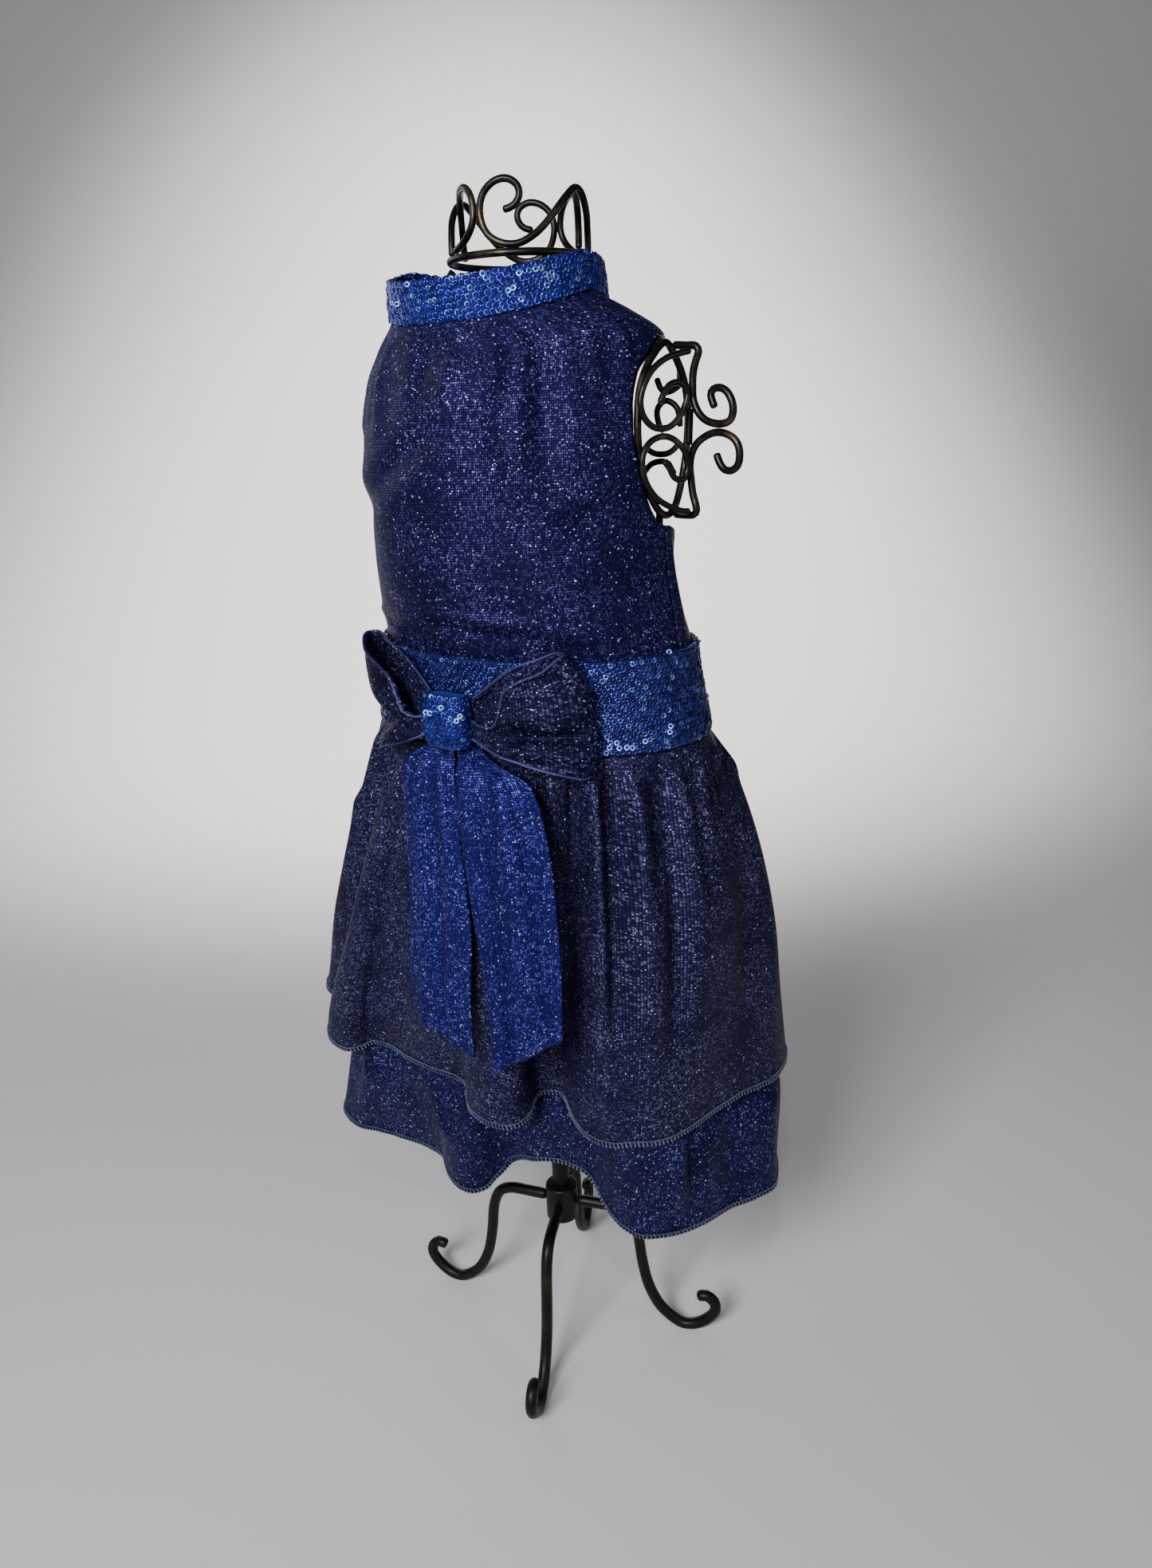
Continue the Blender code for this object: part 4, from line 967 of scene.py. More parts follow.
def tier_net(table, inset, folds, rows):
    """Angle, radius and height of a tier on a net of rows from waist to hem. Its columns are
    spread by the length of the hem, so that the deep folds get as many as they need."""
    turns = [(row[0], row[1] - row[0], row[2], row[3]) for row in table]
    fine = np.linspace(0.0, 360.0, HEM_STEPS, endpoint=False)
    hem = hem_at(turns, fine)
    at_hem = np.radians(fine + hem[:, 0])
    plan = np.stack([hem[:, 1] * np.sin(at_hem), hem[:, 1] * np.cos(at_hem), hem[:, 2]], 1)
    steps = np.linalg.norm(np.roll(plan, -1, axis=0) - plan, axis=1)
    steps = steps + 0.9 * np.radians(360.0 / HEM_STEPS) * 90.0
    length = np.concatenate([[0.0], np.cumsum(steps)])
    wanted = np.arange(AROUND) * length[-1] / AROUND
    angles = np.interp(wanted, length, np.append(fine, 360.0))
    hem = hem_at(turns, angles)
    drops = (np.linspace(0.0, 1.0, rows + 1) ** ROW_POWER)[:, None]
    facing = angles[None, :] + hem[:, 0][None, :] * drops
    waist = np.array([waist_radius(angle, inset) for angle in angles])
    mean = np.array([oval_radius(angle + turn, TIER_HALF, TIER_DEPTH)
                     for angle, turn in zip(angles, hem[:, 0])])
    flare = np.array([table_at(FLARES, angle, period=360.0)[1] for angle in angles])
    radius = waist + (mean - waist) * (1 - (1 - drops) ** flare) + (hem[:, 1] - mean) * drops**0.9
    radius = radius + fold_rise(folds, angles, drops, radius)
    height = WAIST_HEIGHT - drops * (WAIST_HEIGHT - hem[:, 2])
    return facing, radius, height


def level_line(net, height):
    """Angles and radii of every column of a tier at a height."""
    facing, radius, heights = net
    drop = np.clip((WAIST_HEIGHT - height) / (WAIST_HEIGHT - heights[-1]), 0.0, 1.0)
    place_on = drop ** (1 / ROW_POWER) * (len(radius) - 1)
    row = np.minimum(place_on.astype(int), len(radius) - 2)
    share, column = place_on - row, np.arange(AROUND)
    return tuple(grid[row, column] * (1 - share) + grid[row + 1, column] * share
                 for grid in (facing, radius))


def radius_at(net, angle, height, pick=np.max):
    """Radius of a tier at an angle and height, outermost or innermost where it doubles back."""
    angles, radii = level_line(net, height)
    away = (angles - angle + 180) % 360 - 180
    after = np.roll(away, -1)
    meets = (away * after <= 0) & (np.abs(after - away) < 40) & (away != after)
    share = away[meets] / (away[meets] - after[meets])
    found = radii[meets] + (np.roll(radii, -1)[meets] - radii[meets]) * share
    return float(pick(found))


UPPER_ROWS, UPPER_DROP = 66, 215.0
UPPER_NET = tier_net(UPPER_HEM, 0.8, UPPER_FOLDS + gather_folds(5, 60, 1.2, 3.0, (-20, 26)),
                     UPPER_ROWS)


def tier_point(net):
    """Point of a tier's net, its rows counted up from the hem."""
    facing, radii, heights = net

    def at(column, row):
        column %= AROUND
        down = len(radii) - 1 - row
        return on_axis(facing[down, column], radii[down, column], heights[down, column])

    return at


def tier_weave(net, fall):
    """Millimetres of cloth along the hem and up from it."""
    point_at = tier_point(net)
    rows = len(net[1]) - 1
    run = [0.0]
    for column in range(AROUND):
        run.append(run[-1] + (point_at(column + 1, 0) - point_at(column, 0)).length)
    return lambda column, row: (run[column], fall * (1 - ((rows - row) / rows) ** ROW_POWER))


# The upper tier's copy of the knit, with brighter, greyer stitches and ground than the bodice's:
# painted light and sheen.
TIER_GROUND = (0.0026, 0.0024, 0.014), (0.0160, 0.0148, 0.060)
TIER_KNIT = glitter_finish("upper tier glitter knit", True, TIER_GROUND, (0.28, 0.26, 0.55),
                           0.075)
upper_tier = cloth("skirt_upper_knit", AROUND, UPPER_ROWS, tier_point(UPPER_NET),
                   tier_weave(UPPER_NET, UPPER_DROP), KNIT_WALL, TIER_KNIT, tube=True)
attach(upper_tier, "root")
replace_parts(upper_tier, "skirt_upper")


def thread_finish(name, colour):
    """Twisted polyester thread, its tone a little different in each stitch."""
    material, tree, shader = new_finish(name)
    darker, lighter = (tuple(c * by for c in colour) for by in (0.6, 1.9))
    feed(tree, shader, {"Base Color": blend_colour(tree, own_tones(tree)[0], darker, lighter),
                        "Roughness": 0.5, "Sheen Weight": 0.4})
    return material


def thread_shape(rows, diameter):
    """A short length of thread through rows of points, four-sided."""
    curve = bpy.data.curves.new("thread", "CURVE")
    curve.dimensions = "3D"
    curve.bevel_depth = diameter / 2
    curve.bevel_resolution = 0
    curve.use_fill_caps = True
    spline = curve.splines.new("POLY")
    spline.points.add(len(rows) - 1)
    for knot, point in zip(spline.points, rows):
        knot.co = (*point, 1.0)
    holder = bpy.data.objects.new("thread", curve)
    mesh = bpy.data.meshes.new_from_object(holder)
    bpy.data.objects.remove(holder, do_unlink=True)
    return mesh


# Overlock stitch over an edge: x along the hem, y up the cloth, z out.
WHIP = [(-0.3, 3.2, 0.25), (0.0, 1.6, 0.42), (0.3, 0.1, 0.38), (0.4, -0.55, -0.6),
        (0.5, 0.3, -1.6), (0.7, 2.8, -1.5)]
CHAIN = [(-1.25, 3.0, 0.1), (-0.5, 3.35, 0.5), (0.5, 3.2, 0.55), (1.2, 2.9, 0.15)]
WHIP_THREAD, CHAIN_THREAD = 0.75, 0.7


def overlocked(name, net, spacing, material, seed):
    """Whip stitches and a chain along a tier's hem, following its folds."""
    point_at = tier_point(net)
    hem = [point_at(column, 0) for column in range(AROUND)]
    above = [point_at(column, 1) for column in range(AROUND)]
    lengths = np.cumsum([0.0] + [(hem[(k + 1) % AROUND] - hem[k]).length for k in range(AROUND)])
    wanted = np.arange(round(lengths[-1] / spacing)) * lengths[-1] / round(lengths[-1] / spacing)
    frames = []
    for length in wanted:
        at = float(np.interp(length, lengths, np.arange(AROUND + 1)))
        k, share = int(at) % AROUND, at - int(at)
        point = hem[k].lerp(hem[(k + 1) % AROUND], share)
        higher = above[k].lerp(above[(k + 1) % AROUND], share)
        along = (hem[(k + 2) % AROUND] - hem[k - 1]).normalized()
        up = (higher - point).normalized()
        out = along.cross(up).normalized()
        made = Matrix((along, out.cross(along), out)).transposed().to_4x4()
        made.translation = point
        frames.append(made)
    whips = repeated(name + "_whip", thread_shape(WHIP, WHIP_THREAD), frames, material, seed)
    chain = repeated(name + "_chain", thread_shape(CHAIN, CHAIN_THREAD), frames, material,
                     seed + 1)
    for piece in (whips, chain):
        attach(piece, "root")
    return [whips, chain]


upper_thread = overlocked("upper_hem", UPPER_NET, 2.2,
                          thread_finish("steel blue overlock thread", (0.017, 0.029, 0.085)), 21)

# The lower skirt tier: a second gathered strip under the first, longer, with its rows running
# down. It follows the folds above it, and its hem is overlocked in navy thread.

LOWER_HEM = [
    # waist angle, hem angle, radius, height
    (-86, -86, 154, 130), (-76, -79, 158, 125), (-66, -73, 155, 121), (-57, -69, 146, 120),
    (-48, -66, 134, 120), (-40, -64.5, 120, 121), (-33, -62.5, 105, 121), (-26, -58, 86, 121),
    (-20, -49, 72, 120), (-14, -36, 70, 118.5), (-9, -26, 67, 117.5), (-5, -18, 62, 118),
    (-2, -14, 55, 120), (1, -14, 47, 124), (6, -9, 40, 132), (13, 4, 39, 139), (22, 18, 41, 142),
    (32, 30, 41, 143), (41, 42, 42, 142), (48, 53, 46, 139), (53, 60, 50, 133),
    (56.5, 62.5, 57, 125), (59.5, 64.5, 66, 118), (62.5, 66.5, 76, 115), (66.5, 70, 87, 114),
    (72, 75, 93.5, 114.5), (80, 81, 99.5, 115), (90, 90, 107, 116.5), (98, 98, 113, 117.5),
    (105, 104.5, 125, 119), (112, 111, 134, 120), (120, 120, 133, 123), (127, 127, 128, 124),
    (139, 139, 99, 122), (151, 151, 100, 119), (163, 162, 79, 122), (176, 177, 89, 119),
    (189, 188, 77, 122), (202, 203, 92, 119), (214, 213, 87, 122), (226, 227, 112, 120),
    (238, 238, 107, 124), (252, 252, 135, 126), (264, 264, 130, 130),
]
LOWER_FOLDS = [
    # waist hem start end width rise
    (-57, -57, 0.55, 0.99, 8, -6), (-42, -42, 0.6, 0.98, 7, 4), (-29, -29, 0.6, 0.98, 6, -6),
    (-10, -10, 0.55, 0.96, 5, 2), (20, 21, 0.6, 0.97, 5, -2), (33, 34, 0.6, 0.97, 5, 2),
    (61, 61.5, 0.55, 0.98, 3, 1.8), (66, 66.5, 0.6, 0.99, 4, -3.5), (74, 79, 0.62, 0.99, 4, 4.5),
    (80.5, 86, 0.64, 0.98, 3.6, -4.5), (97, 98, 0.6, 1, 9, -4), (117, 119, 0.6, 0.97, 6, 3.5),
    (134, 134, 0.55, 0.96, 4, -3), (158, 158, 0.6, 0.95, 5, -2.6), (183, 184, 0.6, 0.95, 5, -2.6),
    (208, 209, 0.6, 0.95, 5, -2.6), (232, 232, 0.6, 0.95, 5, -2.8),
]
LOWER_ROWS, LOWER_DROP = 74, 283.0
UPPER_HEM_LINE = 189.0


def held_inside(net):
    """The lower tier's net, kept inside the upper tier with room for its cloth."""
    facing, radii, heights = net
    for row in range(len(radii)):
        room = 2.2 + 3.3 * min(1.0, row / len(radii) * 8)
        for column in range(AROUND):
            height = heights[row, column]
            if height > 160.0:
                limit = radius_at(UPPER_NET, facing[row, column], max(height, UPPER_HEM_LINE),
                                  np.min)
                limit += 0.5 * max(0.0, UPPER_HEM_LINE - height) - room
                radii[row, column] = min(radii[row, column], limit)
    return net


LOWER_NET = held_inside(tier_net(LOWER_HEM, 3.0, LOWER_FOLDS, LOWER_ROWS))
# The lower tier's copy of the knit, a little brighter than the bodice's to match the light on this
# tier: painted light.
LOWER_GROUND = (0.0023, 0.0021, 0.015), (0.0104, 0.0090, 0.068)
LOWER_KNIT = glitter_finish("lower tier glitter knit", False, LOWER_GROUND, (0.17, 0.165, 0.54),
                            0.105)
lower_tier = cloth("skirt_lower_knit", AROUND, LOWER_ROWS, tier_point(LOWER_NET),
                   tier_weave(LOWER_NET, LOWER_DROP), KNIT_WALL, LOWER_KNIT, tube=True)
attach(lower_tier, "root")
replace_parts(lower_tier, "skirt_lower")
lower_thread = overlocked("lower_hem", LOWER_NET, 2.3,
                          thread_finish("navy overlock thread", (0.008, 0.018, 0.060)), 31)

# The belt: a 45 mm band of the sequin cloth round the waist, its edges turned in and stitched
# down over the joins of bodice and skirt. Sequins lie as they do on the collar.

BELT_COLUMNS, BELT_ROWS = 208, 22
BELT_WALL = 1.8


def belt_point(angle, out, height):
    """Point on the belt's outside, or out from it."""
    _, half, front, back = table_at(BELT_SECTIONS, max(BELT_BOTTOM, min(BELT_TOP, height)))
    x, y = around(angle, half + out, front + out, back + out)
    return Vector((x, y, height))


# A darker copy of the collar's net, because the belt lies in more shade: painted shade.
BELT_NET = net_finish("belt net", (0.003, 0.004, 0.030), (0.007, 0.011, 0.085))


def belt_net_point(column, row):
    """Point of the net under the sequins."""
    height = BELT_BOTTOM + (BELT_TOP - BELT_BOTTOM) * row / BELT_ROWS
    return belt_point(360.0 * column / BELT_COLUMNS, 0.0, height)


belt = cloth("belt_band", BELT_COLUMNS, BELT_ROWS, belt_net_point,
             lambda column, row: (column * 2.6, row * 2.05), BELT_WALL, BELT_NET, tube=True)
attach(belt, "root")
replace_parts(belt, "belt")
BELT_ROUND, BELT_SEWN = 530.0, 43.6


def belt_outside(s, t):
    return belt_point(360.0 * s, 0.0, BELT_BOTTOM + 0.8 + BELT_SEWN * t)


def belt_fold(s, t):
    point = belt_point(360.0 * s, -1.7 * t, BELT_TOP)
    return point + Vector((0, 0, 0.3 * math.sin(math.pi * t)))


chance = random.Random(17)
sewn = sequins_over(chance, belt_outside, BELT_ROUND, BELT_SEWN, 2.85, 2.45)
sewn += sequins_over(chance, belt_fold, BELT_ROUND, 1.0, 2.7, 1.0, lift=0.15)
# The belt's sequins are a darker copy of the collar's, because the belt lies in more shade:
# painted shade. Their last colour is the flash colour, a painted highlight.
BELT_SEQUIN = sequin_finish("belt blue sequins with painted shade", (0.0095, 0.0105, 0.105),
                            (0.042, 0.046, 0.32), (0.22, 0.36, 0.95))
# Painted highlights: the sequins at these points are turned to mirror the key light and take the
# flash colour.
shining = turned_to_light(sewn, [(76.7, -44.8, 404.5, 2), (80.8, -40.7, 406.8, 2),
                                 (84.8, -36.5, 405.2, 2), (88.4, -31.6, 406.9, 1),
                                 (94.7, -18.3, 411.4, 2), (88.5, -9.6, 444.5, 1)])
belt_sequins = repeated("belt_sequins", SEQUIN_SHAPE, sewn, BELT_SEQUIN, 5, shining)
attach(belt_sequins, "root")

# The bow's tails: two straps of the knit, sewn as flat tubes, pinched under the knot and hanging
# down the skirt to slanted ends.

TAILS = {
    # height, angles of the two long edges, stand-off from the axis; then heights of the cut
    "left": ([(403.6, -8.0, 4.0, 2.9), (397.0, -15.0, 6.5, 8.5), (390.0, -17.0, 7.0, 11.0),
              (361.0, -18.0, 8.6, 12.0), (307.0, -20.0, 11.4, 13.0), (262.0, -22.2, 9.5, 14.5)],
             (250.0, 235.0)),
    "right": ([(403.6, 4.6, 17.0, 2.9), (398.5, 8.5, 25.0, 9.0), (391.0, 9.0, 35.5, 14.0),
               (371.0, 10.3, 39.4, 16.5), (341.0, 12.4, 41.4, 17.0), (290.0, 16.4, 42.4, 17.5),
               (262.0, 18.0, 42.0, 18.0)],
              (231.0, 257.0)),
}
# For each tail: phase of its waves, room over the skirt, and its long creases: share across at
# the top and at the bottom, width, rise.
TAIL_HANG = {
    "left": (0.1, 2.6, ((0.22, 0.30, 0.07, 2.0), (0.42, 0.58, 0.08, -3.0),
                        (0.82, 0.72, 0.07, 1.6))),
    "right": (0.45, 5.6, ((0.10, 0.06, 0.05, 2.0), (0.24, 0.30, 0.07, -3.2),
                          (0.74, 0.84, 0.07, -2.6), (0.52, 0.56, 0.10, 2.0))),
}
TAIL_COLUMNS, TAIL_ROWS = 36, 90
TAIL_WALL, TAIL_DROP = 1.6, 150.0
# The tails' copy of the knit, brighter and bluer than the bodice's because the key light falls
# full on the tails: painted light.
TAIL_GROUND = (0.0024, 0.0022, 0.024), (0.0120, 0.0104, 0.140)
TAIL_KNIT = glitter_finish("bow glitter knit", False, TAIL_GROUND, (0.17, 0.155, 0.78), 0.110)


def hanging_tail(table, cut, lean, lift, creases):
    """Point of a tail that hangs from the knot, clear of the tier below it."""
    top, last = table[0][0], table[-1][0]

    def at(column, row):
        share = column / TAIL_COLUMNS
        slant = cut[0] + (cut[1] - cut[0]) * share
        fall = top - (top - slant) * (1 - row / TAIL_ROWS)
        _, left, right, out = table_at(table[::-1], max(last, fall))
        angle = left + (right - left) * share
        _, half, front, _ = BELT_SECTIONS[0]
        hang = oval_radius(angle, half + out, front + out)
        if fall < BELT_BOTTOM - 6.0:
            hang = max(hang, radius_at(UPPER_NET, angle, fall) + lift)
        down = (top - fall) / TAIL_DROP
        pinch = math.exp(-((down / 0.34) ** 2)) * min(1.0, down * 12)
        folds = 1.8 * pinch * math.cos(math.tau * (2.4 * share + lean))
        edge = 1 - abs(2 * share - 1) ** 7
        soft = 1.1 * min(1.0, down * 3) * math.sin(math.tau * (0.8 * share + lean) + 5 * down)
        for start, stop, width, rise in creases:
            away = share - start - (stop - start) * down
            soft += rise * min(1.0, down * 4) * math.exp(-((away / width) ** 2))
        return on_axis(angle, hang + folds + 0.9 * edge + soft * edge, fall)

    return at


for name, (table, cut) in TAILS.items():
    strap = cloth(f"bow_tail_{name}_knit", TAIL_COLUMNS, TAIL_ROWS,
                  hanging_tail(table, cut, *TAIL_HANG[name]),
                  lambda column, row: (column * 1.05, row * 1.75), TAIL_WALL, TAIL_KNIT)
    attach(strap, "root")
    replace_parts(strap, f"bow_tail_{name}")

# The bow's loops: a strap of the knit on each side, folded back on itself and gathered at the
# middle, so that its open edges show a dark hollow. Its edges are turned and rolled.

BOW_ANGLE, LOOP_START = 2.75, 7.5
# Height and the angle from the knot that each loop reaches there.
LOOP_ENDS = {
    "right": (1, [(392.0, 44.0), (399.0, 47.3), (415.0, 47.8), (430.0, 47.6), (441.0, 45.8),
                  (446.5, 43.6), (453.0, 39.6)]),
    "left": (-1, [(392.0, 26.5), (399.0, 27.5), (405.0, 22.5), (411.0, 18.5), (417.0, 25.0),
                  (424.0, 34.0), (432.0, 38.5), (442.0, 41.5), (453.0, 40.0)]),
}
LOOP_SECTIONS = [
    # share front  rear  top_f  bottom_f top_r bottom_r
    (0.00, 5.8, 3.4, 417.8, 409.0, 428.0, 410.0),
    (0.10, 8.6, 2.9, 416.8, 407.2, 432.5, 408.8),
    (0.19, 11.0, 2.6, 417.0, 405.6, 436.6, 407.8),
    (0.26, 12.8, 2.5, 420.2, 404.4, 439.6, 406.6),
    (0.32, 13.8, 2.5, 432.6, 403.2, 442.0, 405.6),
    (0.38, 14.4, 2.5, 437.2, 402.2, 443.6, 404.6),
    (0.52, 15.4, 2.6, 441.6, 399.8, 446.4, 402.4),
    (0.68, 15.5, 2.6, 445.0, 397.5, 448.6, 400.0),
    (0.88, 12.5, 3.0, 450.0, 394.5, 451.5, 397.0),
    (0.97, 9.5, 4.4, 451.5, 393.5, 452.0, 395.0),
]
# The outer fold between the two layers: share, stand-off, top and bottom.
LOOP_FOLD = (1.0, 6.9, 451.5, 394.3)
# Creases pressed into the front layer: share along and height at both ends, width, rise.
LOOP_CREASES = [
    (0.05, 412, 0.97, 415, 3, -4.2), (0.1, 409.5, 0.95, 405, 4, 1.6),
    (0.04, 417, 0.55, 425, 3, 1.5), (0.1, 413.5, 0.6, 419.5, 2.2, -1.3),
    (0.3, 403.5, 0.9, 400, 2.2, -1.3), (0.45, 436, 0.92, 446, 3, -1),
]
LOOP_COLUMNS, LOOP_ROWS = 96, 36
# The loops' copy of the knit, darker than the bodice's: painted shade.
LOOP_GROUND = (0.0016, 0.0015, 0.009), (0.0055, 0.0050, 0.030)
LOOP_KNIT = glitter_finish("bow loop glitter knit", False, LOOP_GROUND, (0.15, 0.14, 0.38),
                           0.085)
LOOP_EDGE = 1.4


def loop_point(side, ends):
    """Point of a loop: its columns run out along the front layer and back along the rear one."""
    start = BOW_ANGLE + side * LOOP_START

    def ring_at(share_high):
        """Angle, stand-off, height and share along, round the loop at one share of its height."""
        def at(share, out, top, bottom):
            height = bottom + (top - bottom) * share_high
            reach = table_at(ends, height)[1]
            angle = start + side * (reach - BOW_ANGLE * side - LOOP_START) * share
            return angle, out, height, share

        front = [at(row[0], row[1], row[3], row[4]) for row in LOOP_SECTIONS]
        rear = [at(row[0], row[2], row[5], row[6]) for row in reversed(LOOP_SECTIONS)]
        return front + [at(*LOOP_FOLD)] + rear

    rings = [ring_at(row / LOOP_ROWS) for row in range(LOOP_ROWS + 1)]

    def point(column, row):
        if side < 0:
            column = LOOP_COLUMNS - column
        place_on = (len(rings[row]) - 1) * column / LOOP_COLUMNS
        angle, out, height, share = spline_at(rings[row], place_on)
        if place_on < len(LOOP_SECTIONS):
            for start, from_height, stop, to_height, width, rise in LOOP_CREASES:
                if start < share < stop:
                    along = (share - start) / (stop - start)
                    away = height - (from_height + (to_height - from_height) * along)
                    fade = min(1.0, 5 * along, 5 * (1 - along))
                    out += rise * fade * math.exp(-((away / width) ** 2))
        from_top = LOOP_ROWS - row
        out += 0.6 * math.cos(from_top * 2.1) * math.exp(-from_top / 6.0)
        return belt_point(angle, max(out, 1.6), height)

    return point


for name, (side, ends) in LOOP_ENDS.items():
    point = loop_point(side, ends)
    loop = cloth(f"bow_loop_{name}_knit", LOOP_COLUMNS, LOOP_ROWS, point,
                 lambda column, row: (row * 1.4, column * 1.35), KNIT_WALL, LOOP_KNIT)
    edges = [([point(column, row) for column in range(0, LOOP_COLUMNS + 1, 2)], False)
             for row in (0, LOOP_ROWS)]
    rolled = round_wires(f"bow_loop_{name}_rolled_edge", edges, LOOP_EDGE, LOOP_KNIT)
    for piece in (loop, rolled):
        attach(piece, "root")
    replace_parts(loop, f"bow_loop_{name}")

# The bow's knot: a short band of sequin cloth wrapped round the middle of loops and tails and sewn
# behind them. Its section swells at the middle, and a few sequins on its upper half are turned to
# mirror the key light and take the flash colour, a painted highlight.

KNOT_BANDS = [
    # height wide deep
    (404.4, 12.4, 5.2),
    (408.0, 13.0, 6.2),
    (413.0, 13.5, 7.4),
    (417.6, 13.6, 7.9),
    (421.5, 13.4, 7.2),
    (426.0, 12.9, 6.1),
    (429.6, 12.4, 5.2),
]
KNOT_COLUMNS, KNOT_ROWS = 60, 20
KNOT_X, KNOT_Y, KNOT_WALL = 5.0, -76.9, 1.4


def knot_side(turn, wide, deep):
    """Point of the knot's section, a rounded oblong."""
    return (wide * math.copysign(abs(math.sin(turn)) ** 0.6, math.sin(turn)),
            deep * math.copysign(abs(math.cos(turn)) ** 0.8, math.cos(turn)))


KNOT_SECTION = (13.4, 7.0)
# How far round the knot each two degrees of its section come, by length.
KNOT_RUN = [math.dist(knot_side(math.radians(2 * k), *KNOT_SECTION),
                      knot_side(math.radians(2 * k + 2), *KNOT_SECTION)) for k in range(180)]
KNOT_RUN = np.concatenate([[0.0], np.cumsum(KNOT_RUN)]) / sum(KNOT_RUN)


def knot_point(turn_share, height_share):
    """Point on the knot at shares round it and up it."""
    height, wide, deep = spline_at(KNOT_BANDS, (len(KNOT_BANDS) - 1) * height_share)
    turn = math.radians(float(np.interp(turn_share, KNOT_RUN, np.arange(0.0, 361.0, 2.0))))
    x, y = knot_side(turn, wide, deep)
    return Vector((KNOT_X + x, KNOT_Y - y, height))


knot = cloth("bow_knot_band", KNOT_COLUMNS, KNOT_ROWS,
             lambda column, row: knot_point(column / KNOT_COLUMNS, row / KNOT_ROWS),
             lambda column, row: (column * 1.2, row * 1.25), KNOT_WALL, NET, tube=True)
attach(knot, "root")
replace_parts(knot, "bow_knot")
chance = random.Random(29)
KNOT_REAR = -74.0
sewn = [place for place in sequins_over(chance, knot_point, 66.0, 26.0, 2.6, 2.3, lean=7.0)
        if place.translation.y < KNOT_REAR]
# Painted highlights: these sequins mirror the key light and take the flash colour.
shining = turned_to_light(sewn, [(0.2, -83.2, 421.6, 2), (16.1, -81.7, 420.2, 2),
                                 (8.0, -83.0, 424.0, 1)])
knot_sequins = repeated("bow_knot_sequins", SEQUIN_SHAPE, sewn, SEQUIN, 7, shining)
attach(knot_sequins, "root")

# The photographer's setting, which is not part of the object: a pale grey sweep, a soft key from
# the upper left, weak fills from behind and from the right, a small lamp above the camera,
# a pool of light on the sweep, and the camera, close in, level with the chest and tipped down.

CAMERA_SIDE = math.radians(38)
# The sweep in metres: width, near edge, flat floor, radius of the bend and wall above it; then
# the share of its length that is floor.
SWEEP_WIDE, SWEEP_NEAR, SWEEP_FLAT, SWEEP_BEND, SWEEP_WALL = 9.0, -3.0, 4.1, 0.9, 3.2
FLOOR_SHARE = 0.55

sweep_net = bmesh.new()
bmesh.ops.create_grid(sweep_net, x_segments=1, y_segments=60, size=0.5)
for vert in sweep_net.verts:
    along = vert.co.y + 0.5
    rise = max(0.0, along - FLOOR_SHARE) / (1 - FLOOR_SHARE)
    bend = math.pi / 2 * min(1.0, 2 * rise)
    vert.co = (vert.co.x * SWEEP_WIDE,
               SWEEP_NEAR + SWEEP_FLAT * min(1.0, along / FLOOR_SHARE)
               + SWEEP_BEND * math.sin(bend),
               SWEEP_BEND * (1 - math.cos(bend)) + SWEEP_WALL * max(0.0, 2 * rise - 1))
bmesh.ops.rotate(sweep_net, verts=sweep_net.verts, matrix=Matrix.Rotation(CAMERA_SIDE, 3, "Z"))
bmesh.ops.recalc_face_normals(sweep_net, faces=sweep_net.faces)
sweep_mesh = bpy.data.meshes.new("sweep")
sweep_net.to_mesh(sweep_mesh)
sweep_net.free()
sweep_mesh.shade_smooth()
sweep = in_scene("floor_sweep", sweep_mesh)
sweep_finish, sweep_tree, sweep_shader = new_finish("pale grey sweep")
feed(sweep_tree, sweep_shader, {"Base Color": (0.66, 0.655, 0.65, 1.0), "Roughness": 0.8})
sweep_mesh.materials.append(sweep_finish)

TOWARDS = Vector((math.sin(CAMERA_SIDE), -math.cos(CAMERA_SIDE), 0.0))
RIGHTWARDS = Vector((math.cos(CAMERA_SIDE), math.sin(CAMERA_SIDE), 0.0))
UPWARDS = Vector((0.0, 0.0, 1.0))
COOL = (0.95, 0.97, 1.0)


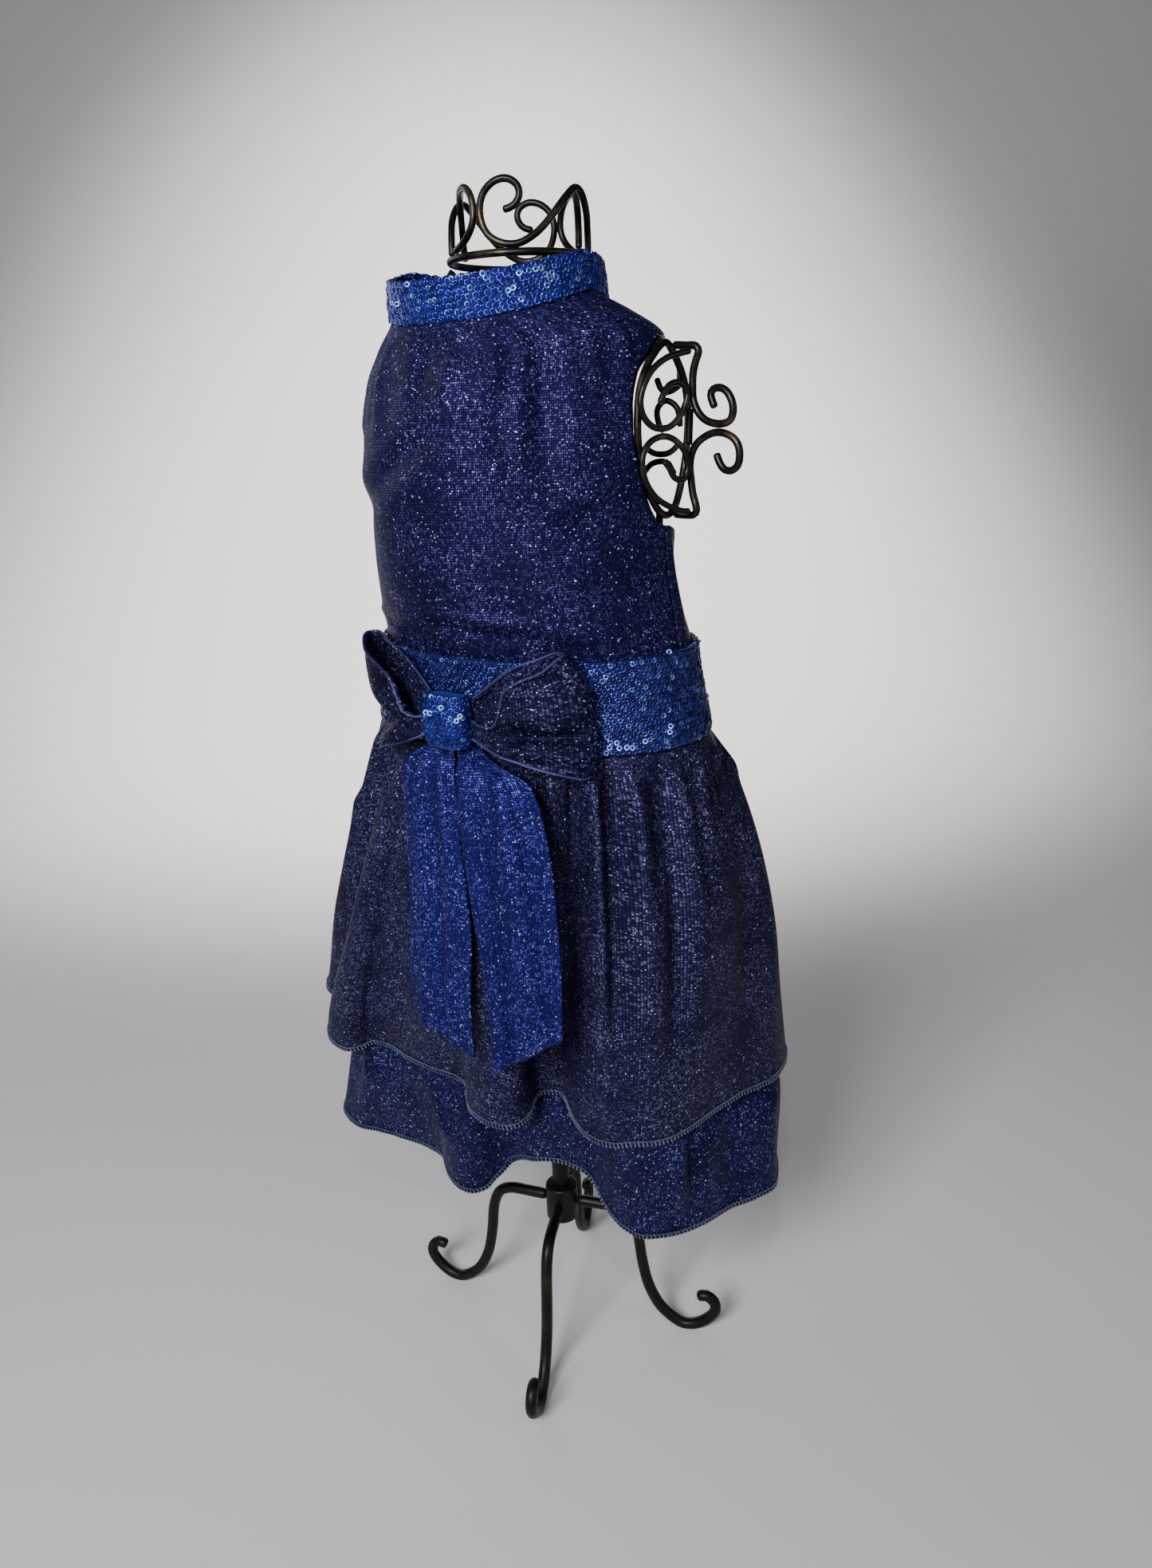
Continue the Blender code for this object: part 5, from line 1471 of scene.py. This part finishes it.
def studio_lamp(name, kind, place, aim, watts, colour, **settings):
    """A lamp; place and aim are metres towards the camera, rightwards and up."""
    lamp = bpy.data.lights.new(name, kind)
    lamp.energy, lamp.color = watts, colour
    for key, value in settings.items():
        setattr(lamp, key, value)
    place, aim = (TOWARDS * p[0] + RIGHTWARDS * p[1] + UPWARDS * p[2] for p in (place, aim))
    holder = in_scene(name, lamp)
    holder.location = place
    holder.rotation_euler = (aim - place).to_track_quat("-Z", "Y").to_euler()


studio_lamp("key", "AREA", (1.1, -0.5, 0.95), (0, 0, 0.35), 24.0, (0.94, 0.96, 1.0), size=0.5)
studio_lamp("fill", "AREA", (-0.7, -1.0, 0.9), (0, 0, 0.35), 2.5, COOL, size=0.6)
studio_lamp("side", "AREA", (0.7, 1.1, 0.7), (0, 0, 0.40), 2.5, COOL, size=0.5)
studio_lamp("front", "SPOT", (0.7, 0.0, 0.9), (0, 0, 0.42), 5.0, (1.0, 1.0, 1.0),
            spot_size=math.radians(60), spot_blend=0.8, shadow_soft_size=0.03)
studio_lamp("pool", "SPOT", (-0.2, 0.0, 2.5), (-1.55, -0.10, 0.42), 680.0, (1.0, 0.98, 0.96),
            spot_size=math.radians(58), spot_blend=0.85, shadow_soft_size=0.15)

world = bpy.data.worlds.new("studio air")
world.use_nodes = True
feed(world.node_tree, world.node_tree.nodes["Background"],
     {"Color": (0.9, 0.92, 0.96, 1.0), "Strength": 0.10})
bpy.context.scene.world = world

# The camera: how far it looks down and leans, and where it stands from the stand's foot, in
# millimetres towards the viewer, rightwards and up.
PITCH, ROLL = math.radians(18.2), math.radians(2.0)
STANDS_AT = (600.0, 18.0, 558.0)
forward = -TOWARDS * math.cos(PITCH) - UPWARDS * math.sin(PITCH)
upright = UPWARDS * math.cos(PITCH) - TOWARDS * math.sin(PITCH)
rightwards = RIGHTWARDS * math.cos(ROLL) - upright * math.sin(ROLL)
upright = upright * math.cos(ROLL) + RIGHTWARDS * math.sin(ROLL)
view = Matrix((rightwards, upright, -forward)).transposed().to_4x4()
view.translation = (TOWARDS * STANDS_AT[0] + RIGHTWARDS * STANDS_AT[1] + UPWARDS * STANDS_AT[2]
                    + STAND_AXIS) * MM
lens = bpy.data.cameras.new("camera")
lens.lens = 26.0
lens.sensor_width = 36.0
lens.clip_start = 0.01
camera = in_scene("camera", lens)
camera.matrix_world = view
bpy.context.scene.camera = camera
